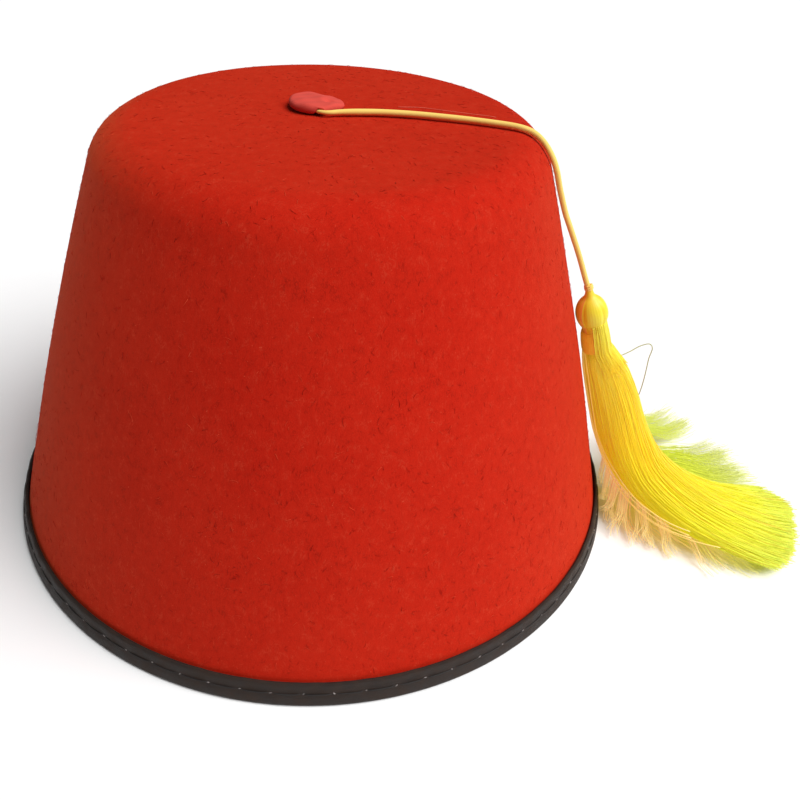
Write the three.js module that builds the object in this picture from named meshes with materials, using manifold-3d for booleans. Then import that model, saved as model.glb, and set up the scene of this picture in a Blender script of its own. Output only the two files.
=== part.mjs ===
// Fez hat, in millimetres, +Z up. The origin is the centre of the rim on the plane that the hat stands on,
// and the tassel hangs at the +X side.
import * as THREE from 'three';
import { mergeVertices } from 'three/addons/utils/BufferGeometryUtils.js';
import Module from 'manifold-3d';

const wasm = await Module();
wasm.setup();

// Felt crown
const BASE_RADIUS = 93.3; // the felt's outside where its side would meet the surface
const CROWN_HEIGHT = 116.4;
const TOP_RADIUS = 57; // where the side would meet the top if their edge were sharp
const TOP_EDGE_ROUND = 12.4;
const TOP_DOME = 1; // rise of the top from its edge to its centre
const TOP_LEAN = 1.1; // the top stands this much higher at the tassel's side, and lower at the other
const SIDE_BULGE = 1.1;
const FELT = 2;

// Binding tape
const BINDING_HEIGHT = 6.8;
const TAPE = 1;

const CLEARANCE = 0.3; // between neighbouring pieces

// Covered button
const BUTTON_RADIUS = 7.2;
const BUTTON_THICKNESS = 1.9;
const BUTTON_X = -2.6;
const BUTTON_Y = 3.9;
const BUTTON_COVER = 0.6; // felt left over the groove that the cord's start lies in
const SWELL_FULL = 2.25; // how far round the cord's start the cover is lifted in full
const SWELL_RADIUS = 6; // how far it is lifted at all

// Cord and tassel
const CORD_DIAMETER = 1.7;
const HANG_AZIMUTH = THREE.MathUtils.degToRad(-10);
const HEAD_RADIUS = 4.6;
const HEAD_HALF_HEIGHT = 5.6; // of the round part, which is a little taller than wide
const HEAD_LENGTH = 13.5;
const NECK_RADIUS = 4.2;
const NECK_LENGTH = 7;
const NECK_FOOT_HEIGHT = 56; // the lower end of the neck wrap above the surface
const SKIRT_LENGTH = 100;
const FLOOR_GAP = 0.3; // between the tassel's threads and the surface

// Facets
const ROUND_STEPS = 60;
const SIDE_STEPS = 8;
const EDGE_STEPS = 6;
const TOP_STEPS = 3;
const BUTTON_STEPS = 28;
const CORD_SIDES = 8;
const CORD_STEPS = 54;
const HEAD_STEPS = 20;
const LOCK_SIDES = 8;
const SWEEP_STEPS = 12;
const STRAY_STEPS = 8;

// Route of the cord's centre line, chosen by hand: from under the button, over the top's rounded edge and
// down clear of the side to the tassel's head
const CORD_ROUTE = [
  [-3.4, 2.2, 118.5], [-3.9, 0.6, 118.49], [-3.6, -1, 118.5], [-2.7, -2.4, 118.52], [-1.5, -3.4, 118.54],
  [-0.2, -3.8, 118.56], [1.15, -3.75, 118.59], [2.9, -3.25, 118.62], [5.4, -2.8, 118.66], [8.7, -2.45, 118.71],
  [13.8, -2.1, 118.76], [21.5, -2.4, 118.79], [29.2, -3.4, 118.77], [36.8, -4.6, 118.69],
  [43.7, -6.05, 118.57], [47.1, -6.95, 118.49], [49.6, -7.75, 118.3], [51.8, -8.3, 117.78],
  [53.6, -9.1, 116.95], [55, -10.2, 115.9], [56.2, -12, 114.6], [57.5, -13.5, 112.6], [58.8, -14.2, 109.8],
  [60.3, -13.9, 105.8], [61.95, -13.3, 101.9], [63.7, -13.1, 97.9], [65.4, -13.3, 94.6], [67.1, -13.4, 91.3],
  [69, -13.35, 87.6], [70.9, -13.25, 83.7], [72.6, -13.2, 80], [73.8, -13.15, 77.5], [74.5, -13.1, 76.25],
];
const BUTTON_CORD_POINTS = 9; // how many of them lie under or beside the button

// The skirt's middle line and section from the neck to the tips. up: share of NECK_FOOT_HEIGHT; off (beyond the
// side or rim) and side (along it): shares of SKIRT_LENGTH; wide and thick: shares of the head's diameter
const SKIRT_RUN = [
  { up: 1.03, off: 0.053, side: 0, wide: 0.84, thick: 0.84 },
  { up: 0.94, off: 0.064, side: 0.008, wide: 1.12, thick: 1.2 },
  { up: 0.82, off: 0.078, side: 0.018, wide: 1.42, thick: 1.48 },
  { up: 0.68, off: 0.09, side: 0.02, wide: 1.65, thick: 1.66 },
  { up: 0.54, off: 0.1, side: 0.01, wide: 1.85, thick: 1.74 },
  { up: 0.41, off: 0.12, side: -0.012, wide: 2.02, thick: 1.76 },
  { up: 0.3, off: 0.157, side: -0.043, wide: 2.2, thick: 1.7 },
  { up: 0.225, off: 0.215, side: -0.075, wide: 2.4, thick: 1.6 },
  { up: 0.17, off: 0.29, side: -0.1, wide: 2.7, thick: 1.42 },
  { up: 0.128, off: 0.375, side: -0.115, wide: 3.1, thick: 1.2 },
  { up: 0.098, off: 0.46, side: -0.118, wide: 3.55, thick: 0.95 },
  { up: 0.072, off: 0.535, side: -0.114, wide: 3.85, thick: 0.75 },
  { up: 0.055, off: 0.6, side: -0.104, wide: 4, thick: 0.55 },
];

// Locks of the main sweep. across and lift: the lock's place in the run's section, from its middle, in half
// widths and half thicknesses; reach: share of the run; wide and thick: shares of the run's section
const SWEEP_LOCKS = [
  { across: 0, lift: 0, reach: 0.97, wide: 0.86, thick: 0.86 },
  { across: -0.78, lift: 0.1, reach: 0.97, wide: 0.26, thick: 0.38 },
  { across: -0.56, lift: 0.52, reach: 1, wide: 0.28, thick: 0.36 },
  { across: -0.18, lift: 0.72, reach: 0.985, wide: 0.3, thick: 0.34 },
  { across: 0.22, lift: 0.72, reach: 0.99, wide: 0.28, thick: 0.34 },
  { across: 0.58, lift: 0.5, reach: 0.95, wide: 0.28, thick: 0.36 },
  { across: 0.8, lift: 0.04, reach: 0.91, wide: 0.26, thick: 0.38 },
  { across: 0.52, lift: -0.5, reach: 0.9, wide: 0.32, thick: 0.36 },
  { across: 0, lift: -0.66, reach: 0.92, wide: 0.36, thick: 0.34 },
  { across: -0.52, lift: -0.5, reach: 0.93, wide: 0.32, thick: 0.36 },
];

// Locks that part from the sweep and lie on the surface. from: share of the run where they leave it; off and
// side: place of the tip, shares of SKIRT_LENGTH; wide and thick: shares of the head's diameter
const STRAY_LOCKS = [
  { from: 0.34, off: 0.27, side: 0.46, wide: 0.6, thick: 0.3 },
  { from: 0.36, off: 0.36, side: 0.4, wide: 0.7, thick: 0.3 },
  { from: 0.42, off: 0.5, side: 0.28, wide: 0.95, thick: 0.34 },
  { from: 0.44, off: 0.53, side: 0.2, wide: 1.05, thick: 0.36 },
  { from: 0.46, off: 0.55, side: 0.12, wide: 1.05, thick: 0.36 },
  { from: 0.42, off: 0.03, side: -0.19, wide: 0.6, thick: 0.32 },
  { from: 0.46, off: 0.095, side: -0.235, wide: 0.75, thick: 0.34 },
  { from: 0.52, off: 0.2, side: -0.255, wide: 0.85, thick: 0.36 },
  { from: 0.6, off: 0.37, side: -0.3, wide: 0.9, thick: 0.38 },
];
const STRAY_ROOT = 0.12; // share of the run that a stray lock shares with the sweep before it leaves

// Where a stray lock bends down and where it first lies: shares of its way to the tip and of the height it left
const STRAY_FALL = { along: 0.45, height: 0.45 };
const STRAY_LIE = { along: 0.75, height: 0.14 };

// Locks narrow towards their tips: from which share of their length, and to which share of their size
const SWEEP_TIP = { from: 0.8, size: 0.6 };
const STRAY_TIP = { from: 0.75, size: 0.7 };

const UP = new THREE.Vector3(0, 0, 1);
const OUTWARD = new THREE.Vector3(Math.cos(HANG_AZIMUTH), Math.sin(HANG_AZIMUTH), 0);
const SIDEWAYS = new THREE.Vector3(-Math.sin(HANG_AZIMUTH), Math.cos(HANG_AZIMUTH), 0);

const SIDE_SLOPE = Math.atan((BASE_RADIUS - TOP_RADIUS) / CROWN_HEIGHT);
const EDGE_CENTRE_RADIUS = TOP_RADIUS - TOP_EDGE_ROUND / Math.tan((Math.PI / 2 + SIDE_SLOPE) / 2);
const EDGE_CENTRE_HEIGHT = CROWN_HEIGHT - TOP_EDGE_ROUND;
const SIDE_TOP = EDGE_CENTRE_HEIGHT + TOP_EDGE_ROUND * Math.sin(SIDE_SLOPE);
const FELT_FOOT = TAPE + CLEARANCE;
const HEAD_DIAMETER = 2 * HEAD_RADIUS;

function felt(colour) {
  return new THREE.MeshStandardMaterial({ color: colour, roughness: 0.95, metalness: 0 });
}

function satin(colour) {
  return new THREE.MeshStandardMaterial({ color: colour, roughness: 0.4, metalness: 0 });
}

function namedMesh(name, geometry, material) {
  const mesh = new THREE.Mesh(geometry, material);
  mesh.name = name;
  return mesh;
}

// Three.js turns a profile about +Y: this stands the result about +Z.
function turned(profile, steps) {
  return new THREE.LatheGeometry(profile, steps).rotateX(Math.PI / 2);
}

// Moves each vertex of a geometry to where place(vertex) puts it.
function reshape(geometry, place) {
  const position = geometry.attributes.position;
  const vertex = new THREE.Vector3();
  for (let i = 0; i < position.count; i += 1) {
    vertex.fromBufferAttribute(position, i);
    place(vertex);
    position.setXYZ(i, vertex.x, vertex.y, vertex.z);
  }
  return geometry;
}

function solidOf(geometry) {
  const bare = geometry.clone();
  bare.deleteAttribute('normal');
  bare.deleteAttribute('uv');
  const merged = mergeVertices(bare, 1e-4);
  const corners = [];
  for (let k = 0; k < merged.index.count; k += 3) {
    const triangle = [0, 1, 2].map((i) => merged.index.getX(k + i));
    if (new Set(triangle).size === 3) {
      corners.push(...triangle);
    }
  }
  return new wasm.Manifold(new wasm.Mesh({
    numProp: 3,
    vertProperties: new Float32Array(merged.attributes.position.array),
    triVerts: new Uint32Array(corners),
  }));
}

function geometryOf(solid) {
  const mesh = solid.getMesh();
  const geometry = new THREE.BufferGeometry();
  geometry.setAttribute('position', new THREE.BufferAttribute(new Float32Array(mesh.vertProperties), 3));
  geometry.setIndex(new THREE.BufferAttribute(new Uint32Array(mesh.triVerts), 1));
  geometry.computeVertexNormals();
  return geometry;
}

// The crown leans a little: its top is higher at the tassel's side.
function lean(vertex) {
  vertex.z += TOP_LEAN * (vertex.x / TOP_RADIUS) * (vertex.z / CROWN_HEIGHT) ** 2;
  return vertex;
}

function sideRadius(height) {
  const share = height / SIDE_TOP;
  return BASE_RADIUS - height * Math.tan(SIDE_SLOPE) + SIDE_BULGE * 4 * share * (1 - share);
}

function topHeight(x, y) {
  const share = Math.hypot(x, y) / EDGE_CENTRE_RADIUS;
  return lean(new THREE.Vector3(x, y, CROWN_HEIGHT + TOP_DOME * (1 - share ** 2))).z;
}

// A point beside the crown's side, at a distance square to it.
function besideCrown(height, distance) {
  const radius = sideRadius(height) + distance / Math.cos(SIDE_SLOPE);
  return lean(OUTWARD.clone().multiplyScalar(radius).addScaledVector(UP, height));
}

// The crown's outline, or its hollow's where inset is the wall, from the lower edge to the axis.
function crownOutline(inset) {
  const points = [];
  const sideInset = inset / Math.cos(SIDE_SLOPE);
  const round = TOP_EDGE_ROUND - inset;
  const roundFoot = EDGE_CENTRE_HEIGHT + round * Math.sin(SIDE_SLOPE);
  for (let i = 0; i < SIDE_STEPS; i += 1) {
    const height = FELT_FOOT + (roundFoot - FELT_FOOT) * (i / SIDE_STEPS);
    points.push(new THREE.Vector2(sideRadius(height) - sideInset, height));
  }
  for (let i = 0; i <= EDGE_STEPS; i += 1) {
    const turn = SIDE_SLOPE + (Math.PI / 2 - SIDE_SLOPE) * (i / EDGE_STEPS);
    const radius = EDGE_CENTRE_RADIUS + round * Math.cos(turn);
    points.push(new THREE.Vector2(radius, EDGE_CENTRE_HEIGHT + round * Math.sin(turn)));
  }
  for (let i = 1; i <= TOP_STEPS; i += 1) {
    const share = 1 - i / TOP_STEPS;
    const height = CROWN_HEIGHT - inset + TOP_DOME * (1 - share ** 2);
    points.push(new THREE.Vector2(EDGE_CENTRE_RADIUS * share, height));
  }
  return points;
}

function crown() {
  const profile = [...crownOutline(FELT).reverse(), ...crownOutline(0)];
  return reshape(turned(profile, ROUND_STEPS), lean);
}

// A tape folded round the felt's lower edge. Its fold is round, with a flat underside.
function rimBinding() {
  const across = 1 / Math.cos(SIDE_SLOPE);
  const outer = (CLEARANCE + TAPE) * across;
  const outerBack = CLEARANCE * across;
  const innerBack = -(FELT + CLEARANCE) * across;
  const inner = -(FELT + CLEARANCE + TAPE) * across;
  const soften = 0.3 * TAPE;
  const at = (height, offset) => new THREE.Vector2(sideRadius(height) + offset, height);
  const profile = [
    at(0, outer - TAPE), at(soften, outer - soften), at(TAPE, outer), at(BINDING_HEIGHT, outer),
    at(BINDING_HEIGHT, outerBack), at(TAPE, outerBack), at(TAPE, innerBack),
    at(BINDING_HEIGHT, innerBack), at(BINDING_HEIGHT, inner), at(TAPE, inner),
    at(soften, inner + soften), at(0, inner + TAPE),
  ];
  return turned([...profile, profile[0]], ROUND_STEPS);
}

function cordTube(points, radius, steps) {
  const section = new THREE.Shape();
  for (let i = 0; i < CORD_SIDES; i += 1) {
    const turn = (2 * Math.PI * i) / CORD_SIDES;
    const corner = [radius * Math.cos(turn), radius * Math.sin(turn)];
    if (i === 0) {
      section.moveTo(...corner);
    } else {
      section.lineTo(...corner);
    }
  }
  section.closePath();
  const path = new THREE.CatmullRomCurve3(points.map((point) => new THREE.Vector3(...point)));
  return new THREE.ExtrudeGeometry(section, { steps, bevelEnabled: false, extrudePath: path });
}

// A flat felt-covered disc whose cover swells over the cord's start. The groove below holds the cord.
function topButton() {
  const round = BUTTON_THICKNESS / 2;
  const profile = [new THREE.Vector2(0, 0)];
  for (const turn of [-90, -45, 0, 45, 90]) {
    const angle = THREE.MathUtils.degToRad(turn);
    const radius = BUTTON_RADIUS - round + round * Math.cos(angle);
    profile.push(new THREE.Vector2(radius, round + round * Math.sin(angle)));
  }
  for (const share of [0.7, 0.45, 0.2, 0]) {
    profile.push(new THREE.Vector2(BUTTON_RADIUS * share, BUTTON_THICKNESS));
  }
  const foot = topHeight(BUTTON_X, BUTTON_Y) + CLEARANCE;
  const grooveRadius = CORD_DIAMETER / 2 + CLEARANCE;
  const groovePath = CORD_ROUTE.slice(0, BUTTON_CORD_POINTS).map(
    ([x, y]) => [x, y, topHeight(x, y) + CLEARANCE + CORD_DIAMETER / 2],
  );
  const grooveTop = groovePath[1][2] + grooveRadius;
  const swell = grooveTop + BUTTON_COVER - (foot + BUTTON_THICKNESS);
  const disc = turned(profile, BUTTON_STEPS).translate(BUTTON_X, BUTTON_Y, foot);
  reshape(disc, (vertex) => {
    const near = Math.min(...groovePath.map(([x, y]) => Math.hypot(vertex.x - x, vertex.y - y)));
    const lift = THREE.MathUtils.clamp((SWELL_RADIUS - near) / (SWELL_RADIUS - SWELL_FULL), 0, 1);
    const height = (vertex.z - foot) / BUTTON_THICKNESS;
    vertex.z += swell * height * lift;
  });
  const groove = cordTube(groovePath, grooveRadius, 2 * BUTTON_CORD_POINTS);
  return geometryOf(solidOf(disc).subtract(solidOf(groove)));
}

function neckFoot() {
  return besideCrown(NECK_FOOT_HEIGHT, HEAD_RADIUS + CLEARANCE);
}

// The wrapped head and neck, from the neck's foot to the point where the cord comes in.
function tasselHead() {
  const middle = NECK_LENGTH + HEAD_HALF_HEIGHT;
  const top = NECK_LENGTH + HEAD_LENGTH;
  const profile = [
    new THREE.Vector2(0, -0.1 * NECK_LENGTH),
    new THREE.Vector2(0.9 * NECK_RADIUS, 0),
    new THREE.Vector2(NECK_RADIUS, 0.2 * NECK_LENGTH),
    new THREE.Vector2(0.94 * NECK_RADIUS, 0.55 * NECK_LENGTH),
    new THREE.Vector2(NECK_RADIUS, 0.85 * NECK_LENGTH),
    new THREE.Vector2(0.85 * NECK_RADIUS, NECK_LENGTH),
  ];
  for (const turn of [-45, -20, 5, 30, 57]) {
    const angle = THREE.MathUtils.degToRad(turn);
    const height = middle + HEAD_HALF_HEIGHT * Math.sin(angle);
    profile.push(new THREE.Vector2(HEAD_RADIUS * Math.cos(angle), height));
  }
  profile.push(new THREE.Vector2(0.8 * CORD_DIAMETER, top - 0.9 * CORD_DIAMETER));
  profile.push(new THREE.Vector2(0.6 * CORD_DIAMETER, top));
  profile.push(new THREE.Vector2(0, top));
  const foot = neckFoot();
  const axis = besideCrown(NECK_FOOT_HEIGHT + HEAD_LENGTH, HEAD_RADIUS + CLEARANCE).sub(foot).normalize();
  const turnTo = new THREE.Quaternion().setFromUnitVectors(UP, axis);
  return turned(profile, HEAD_STEPS).applyQuaternion(turnTo).translate(foot.x, foot.y, foot.z);
}

function runPoint({ up, off, side }) {
  const height = up * NECK_FOOT_HEIGHT;
  const point = OUTWARD.clone().multiplyScalar(sideRadius(height) + off * SKIRT_LENGTH);
  return point.addScaledVector(SIDEWAYS, side * SKIRT_LENGTH).addScaledVector(UP, height);
}

const RUN_CURVE = new THREE.CatmullRomCurve3(SKIRT_RUN.map(runPoint));

// The width or thickness of the run's section at a share of the run.
function runSize(share, column) {
  const place = THREE.MathUtils.clamp(share, 0, 1) * (SKIRT_RUN.length - 1);
  const row = Math.min(Math.floor(place), SKIRT_RUN.length - 2);
  const size = THREE.MathUtils.lerp(SKIRT_RUN[row][column], SKIRT_RUN[row + 1][column], place - row);
  return size * HEAD_DIAMETER;
}

// The section's directions at a point of a curve: across runs level, and face away from the crown and then up.
function sectionAt(curve, share) {
  const along = curve.getTangent(share);
  const level = Math.sqrt(Math.max(0, 1 - along.z ** 2));
  const face = OUTWARD.clone().multiplyScalar(Math.max(0, -along.z)).addScaledVector(UP, level + 1e-3);
  face.addScaledVector(along, -face.dot(along)).normalize();
  const across = new THREE.Vector3().crossVectors(along, face).normalize();
  return { centre: curve.getPoint(share), across, face };
}

// A lock: a cylinder bent along a path, with the half width and half thickness that size(share) gives.
function lock(steps, section, size) {
  const bar = new THREE.CylinderGeometry(1, 1, 1, LOCK_SIDES, steps);
  return reshape(bar, (vertex) => {
    const share = vertex.y + 0.5;
    const { centre, across, face } = section(share);
    const { wide, thick } = size(share);
    const [x, z] = [vertex.x, vertex.z];
    vertex.copy(centre).addScaledVector(across, x * wide).addScaledVector(face, z * thick);
    vertex.z = Math.max(vertex.z, FLOOR_GAP);
  });
}

// The share of a lock's size that is left at a share of its length.
function taper(share, tip) {
  return THREE.MathUtils.lerp(1, tip.size, Math.max(0, (share - tip.from) / (1 - tip.from)));
}

function sweepLock(row) {
  const section = (share) => {
    const run = share * row.reach;
    const frame = sectionAt(RUN_CURVE, run);
    frame.centre.addScaledVector(frame.across, (row.across * runSize(run, 'wide')) / 2);
    frame.centre.addScaledVector(frame.face, (row.lift * runSize(run, 'thick')) / 2);
    return frame;
  };
  const size = (share) => {
    const end = taper(share, SWEEP_TIP);
    const run = share * row.reach;
    return {
      wide: (end * row.wide * runSize(run, 'wide')) / 2,
      thick: (end * row.thick * runSize(run, 'thick')) / 2,
    };
  };
  return lock(SWEEP_STEPS, section, size);
}

function strayLock(row) {
  const root = RUN_CURVE.getPoint(row.from - STRAY_ROOT);
  const leave = RUN_CURVE.getPoint(row.from);
  const tip = OUTWARD.clone().multiplyScalar(BASE_RADIUS + row.off * SKIRT_LENGTH);
  tip.addScaledVector(SIDEWAYS, row.side * SKIRT_LENGTH);
  tip.addScaledVector(UP, FLOOR_GAP + (row.thick * HEAD_DIAMETER) / 2);
  const fall = leave.clone().lerp(tip, STRAY_FALL.along);
  fall.z = leave.z * STRAY_FALL.height;
  const lie = leave.clone().lerp(tip, STRAY_LIE.along);
  lie.z = Math.max(tip.z, leave.z * STRAY_LIE.height);
  const path = new THREE.CatmullRomCurve3([root, leave, fall, lie, tip]);
  const size = (share) => {
    const end = taper(share, STRAY_TIP) / 2;
    return { wide: end * row.wide * HEAD_DIAMETER, thick: end * row.thick * HEAD_DIAMETER };
  };
  return lock(STRAY_STEPS, (share) => sectionAt(path, share), size);
}

// The largest shell of a solid, so that a pocket closed in between its locks is filled.
function outerShell(solid) {
  return solid.decompose().reduce((most, each) => (each.volume() > most.volume() ? each : most));
}

function tassel() {
  const locks = [...SWEEP_LOCKS.map(sweepLock), ...STRAY_LOCKS.map(strayLock)];
  const whole = locks.reduce((joined, each) => joined.add(solidOf(each)), solidOf(tasselHead()));
  return geometryOf(outerShell(whole));
}

const fez = new THREE.Group();
fez.add(namedMesh('crown', crown(), felt(0xc8321f)));
fez.add(namedMesh('rim_binding', rimBinding(), felt(0x2b2b2e)));
fez.add(namedMesh('top_button', topButton(), felt(0xcf4234)));
fez.add(namedMesh('tassel_cord', cordTube(CORD_ROUTE, CORD_DIAMETER / 2, CORD_STEPS), satin(0xf2cf57)));
fez.add(namedMesh('tassel', tassel(), satin(0xf0cf2c)));

export default fez;
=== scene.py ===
"""A red felt fez with a bound rim, a covered button, a satin cord and a silk tassel.

Everything is in metres, +Z up. The origin is the centre of the rim on the surface that the hat stands on,
and the tassel hangs at the +X side.
"""

import logging
import math
from collections.abc import Sequence
from dataclasses import dataclass, field
from enum import Enum
from functools import cache

import bpy
import numpy as np
from mathutils import Matrix, Vector


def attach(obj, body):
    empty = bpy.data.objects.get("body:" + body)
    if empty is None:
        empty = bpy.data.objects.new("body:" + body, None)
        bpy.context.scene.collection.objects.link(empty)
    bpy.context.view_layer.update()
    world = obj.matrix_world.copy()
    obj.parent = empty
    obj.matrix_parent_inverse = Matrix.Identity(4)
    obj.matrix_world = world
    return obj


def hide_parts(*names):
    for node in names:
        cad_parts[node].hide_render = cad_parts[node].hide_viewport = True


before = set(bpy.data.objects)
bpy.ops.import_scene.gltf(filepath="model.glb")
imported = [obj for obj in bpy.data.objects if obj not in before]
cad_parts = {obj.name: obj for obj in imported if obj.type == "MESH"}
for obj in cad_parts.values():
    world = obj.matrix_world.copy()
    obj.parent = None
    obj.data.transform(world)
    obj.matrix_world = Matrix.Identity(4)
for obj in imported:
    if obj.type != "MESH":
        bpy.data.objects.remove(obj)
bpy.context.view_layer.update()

log = logging.getLogger("fez")

MM = 0.001
BODY = "root"
Colour = tuple[float, float, float]
Piece = bpy.types.Object
Rows = Sequence[Sequence[float]]
Socket = bpy.types.NodeSocket
Inputs = dict[str | int, object]


# Small helps


def unit(vectors: np.ndarray) -> np.ndarray:
    """Scale each vector of an array to length one."""
    size = np.linalg.norm(vectors, axis=-1, keepdims=True)
    return vectors / np.maximum(size, 1e-12)


def smooth_step(low: float, high: float, value: np.ndarray) -> np.ndarray:
    """Rise from 0 at low to 1 at high with level ends."""
    share = np.clip((value - low) / (high - low), 0, 1)
    return share * share * (3 - 2 * share)


def linear(red: int, green: int, blue: int) -> Colour:
    """Turn a screen colour of 0 to 255 into the linear colour that shaders take."""

    def channel(value: int) -> float:
        share = value / 255
        if share <= 0.04045:
            return share / 12.92
        return ((share + 0.055) / 1.055) ** 2.4

    return channel(red), channel(green), channel(blue)


def start_clean(piece: Piece | None = None) -> None:
    """Go to object mode with nothing selected, or with one piece."""
    if bpy.context.mode != "OBJECT":
        bpy.ops.object.mode_set(mode="OBJECT")
    bpy.ops.object.select_all(action="DESELECT")
    if piece:
        bpy.context.view_layer.objects.active = piece
        piece.select_set(True)


def points_of(piece: Piece) -> np.ndarray:
    """Read the vertices of a piece as rows of x, y, z."""
    flat = np.empty(len(piece.data.vertices) * 3, np.float32)
    piece.data.vertices.foreach_get("co", flat)
    return flat.reshape(-1, 3).astype(float)


def move_points(piece: Piece, points: np.ndarray) -> None:
    """Write the vertices of a piece."""
    piece.data.vertices.foreach_set("co", points.astype(np.float32).ravel())
    piece.data.update()


def note(mesh: bpy.types.Mesh, name: str, values: np.ndarray) -> None:
    """Keep one value for each point of a mesh, for the finish to read."""
    attribute = mesh.attributes.new(name, "FLOAT", "POINT")
    attribute.data.foreach_set("value", values.astype(np.float32).ravel())


def polar(points: np.ndarray) -> tuple[np.ndarray, np.ndarray]:
    """Give each point's distance from the upright axis and its angle round it."""
    return np.hypot(points[:, 0], points[:, 1]), np.arctan2(points[:, 1], points[:, 0])


def swell(points: np.ndarray, reach: np.ndarray) -> np.ndarray:
    """Move points away from the upright axis by a reach."""
    radius, _ = polar(points)
    moved = points.copy()
    moved[:, :2] *= ((radius + reach) / np.maximum(radius, 1e-6))[:, None]
    return moved


def bell(offset: np.ndarray, width: float) -> np.ndarray:
    """Fall smoothly from 1 at no offset to nearly 0 at twice the width."""
    return np.exp(-((offset / width) ** 2))


def apply_modifier(piece: Piece, kind: str, **settings: object) -> None:
    """Give a piece one modifier and apply it.

    Args:
        piece: the piece.
        kind: the modifier's type.
        settings: its properties.
    """
    start_clean(piece)
    modifier = piece.modifiers.new(kind.title(), kind)
    for name, value in settings.items():
        setattr(modifier, name, value)
    bpy.ops.object.modifier_apply(modifier=modifier.name)


def ring_stack(name: str, rings: Sequence[tuple[float, float]], count: int) -> Piece:
    """Model a turned form: a circle that is extruded and resized from ring to ring.

    Args:
        name: the piece's name.
        rings: radius and height of each ring. A radius of 0 closes the form in a pole.
        count: points round each ring.

    Returns:
        The piece, with its faces outward and smooth.
    """
    start_clean()
    radius, height = rings[0]
    bpy.ops.mesh.primitive_circle_add(vertices=count, radius=radius, location=(0, 0, height))
    piece = bpy.context.active_object
    piece.name = name
    bpy.ops.object.transform_apply(location=True)
    bpy.ops.object.mode_set(mode="EDIT")
    bpy.ops.mesh.select_all(action="SELECT")
    for next_radius, next_height in rings[1:]:
        bpy.ops.mesh.extrude_region_move(TRANSFORM_OT_translate={"value": (0, 0, next_height - height)})
        height = next_height
        if next_radius == 0:
            bpy.ops.mesh.merge(type="CENTER")
            break
        share = next_radius / radius
        bpy.ops.transform.resize(value=(share, share, 1), center_override=(0, 0, height))
        radius = next_radius
    bpy.ops.mesh.select_all(action="SELECT")
    bpy.ops.mesh.remove_doubles(threshold=1e-6)
    bpy.ops.mesh.normals_make_consistent(inside=False)
    bpy.ops.object.mode_set(mode="OBJECT")
    bpy.ops.object.shade_smooth()
    return piece


def close_foot(piece: Piece) -> None:
    """Fill the open lower end of a turned form with a fan of faces."""
    start_clean(piece)
    bpy.ops.object.mode_set(mode="EDIT")
    bpy.ops.mesh.select_all(action="DESELECT")
    bpy.ops.mesh.select_non_manifold()
    bpy.ops.mesh.edge_face_add()
    bpy.ops.mesh.poke()
    bpy.ops.mesh.select_all(action="SELECT")
    bpy.ops.mesh.normals_make_consistent(inside=False)
    bpy.ops.object.mode_set(mode="OBJECT")


def run_along(path: np.ndarray) -> np.ndarray:
    """Give the distance from a path's start to each of its points."""
    return np.concatenate([[0], np.cumsum(np.linalg.norm(np.diff(path, axis=0), axis=1))])


class SmoothPath:
    """A smooth curve through points that may lie unevenly."""

    def __init__(self, points: Rows) -> None:
        """Keep the points, with one more beyond each end."""
        through = np.array(points, float)
        first = 2 * through[0] - through[1]
        last = 2 * through[-1] - through[-2]
        self.points = np.vstack([first, through, last])

    def at(self, share: np.ndarray | float) -> np.ndarray:
        """Give the curve's point at a share of its points' count."""
        spans = len(self.points) - 3
        place = np.clip(np.asarray(share, float), 0, 1) * spans
        row = np.minimum(place.astype(int), spans - 1)
        t = (place - row)[..., None]
        p0, p1, p2, p3 = (self.points[row + step] for step in range(4))
        d0, d1, d2 = (
            np.sqrt(np.linalg.norm(b - a, axis=-1, keepdims=True))
            for a, b in ((p0, p1), (p1, p2), (p2, p3))
        )
        leave = ((p1 - p0) / d0 - (p2 - p0) / (d0 + d1) + (p2 - p1) / d1) * d1
        arrive = ((p2 - p1) / d1 - (p3 - p1) / (d1 + d2) + (p3 - p2) / d2) * d1
        cubic = 2 * (p1 - p2) + leave + arrive
        square = 3 * (p2 - p1) - 2 * leave - arrive
        return p1 + leave * t + square * t**2 + cubic * t**3

    def tangent(self, share: np.ndarray | float) -> np.ndarray:
        """Give the curve's direction at a share of its points' count."""
        step = 1e-4
        share = np.asarray(share, float)
        ahead = self.at(np.minimum(share + step, 1))
        behind = self.at(np.maximum(share - step, 0))
        return unit(ahead - behind)

    def even(self, spacing: float) -> np.ndarray:
        """Give points along the curve at an even spacing."""
        fine = self.at(np.linspace(0, 1, 4000))
        run = run_along(fine)
        stops = np.linspace(0, run[-1], max(3, round(run[-1] / spacing) + 1))
        return np.stack([np.interp(stops, run, fine[:, axis]) for axis in range(3)], axis=1)


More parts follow.
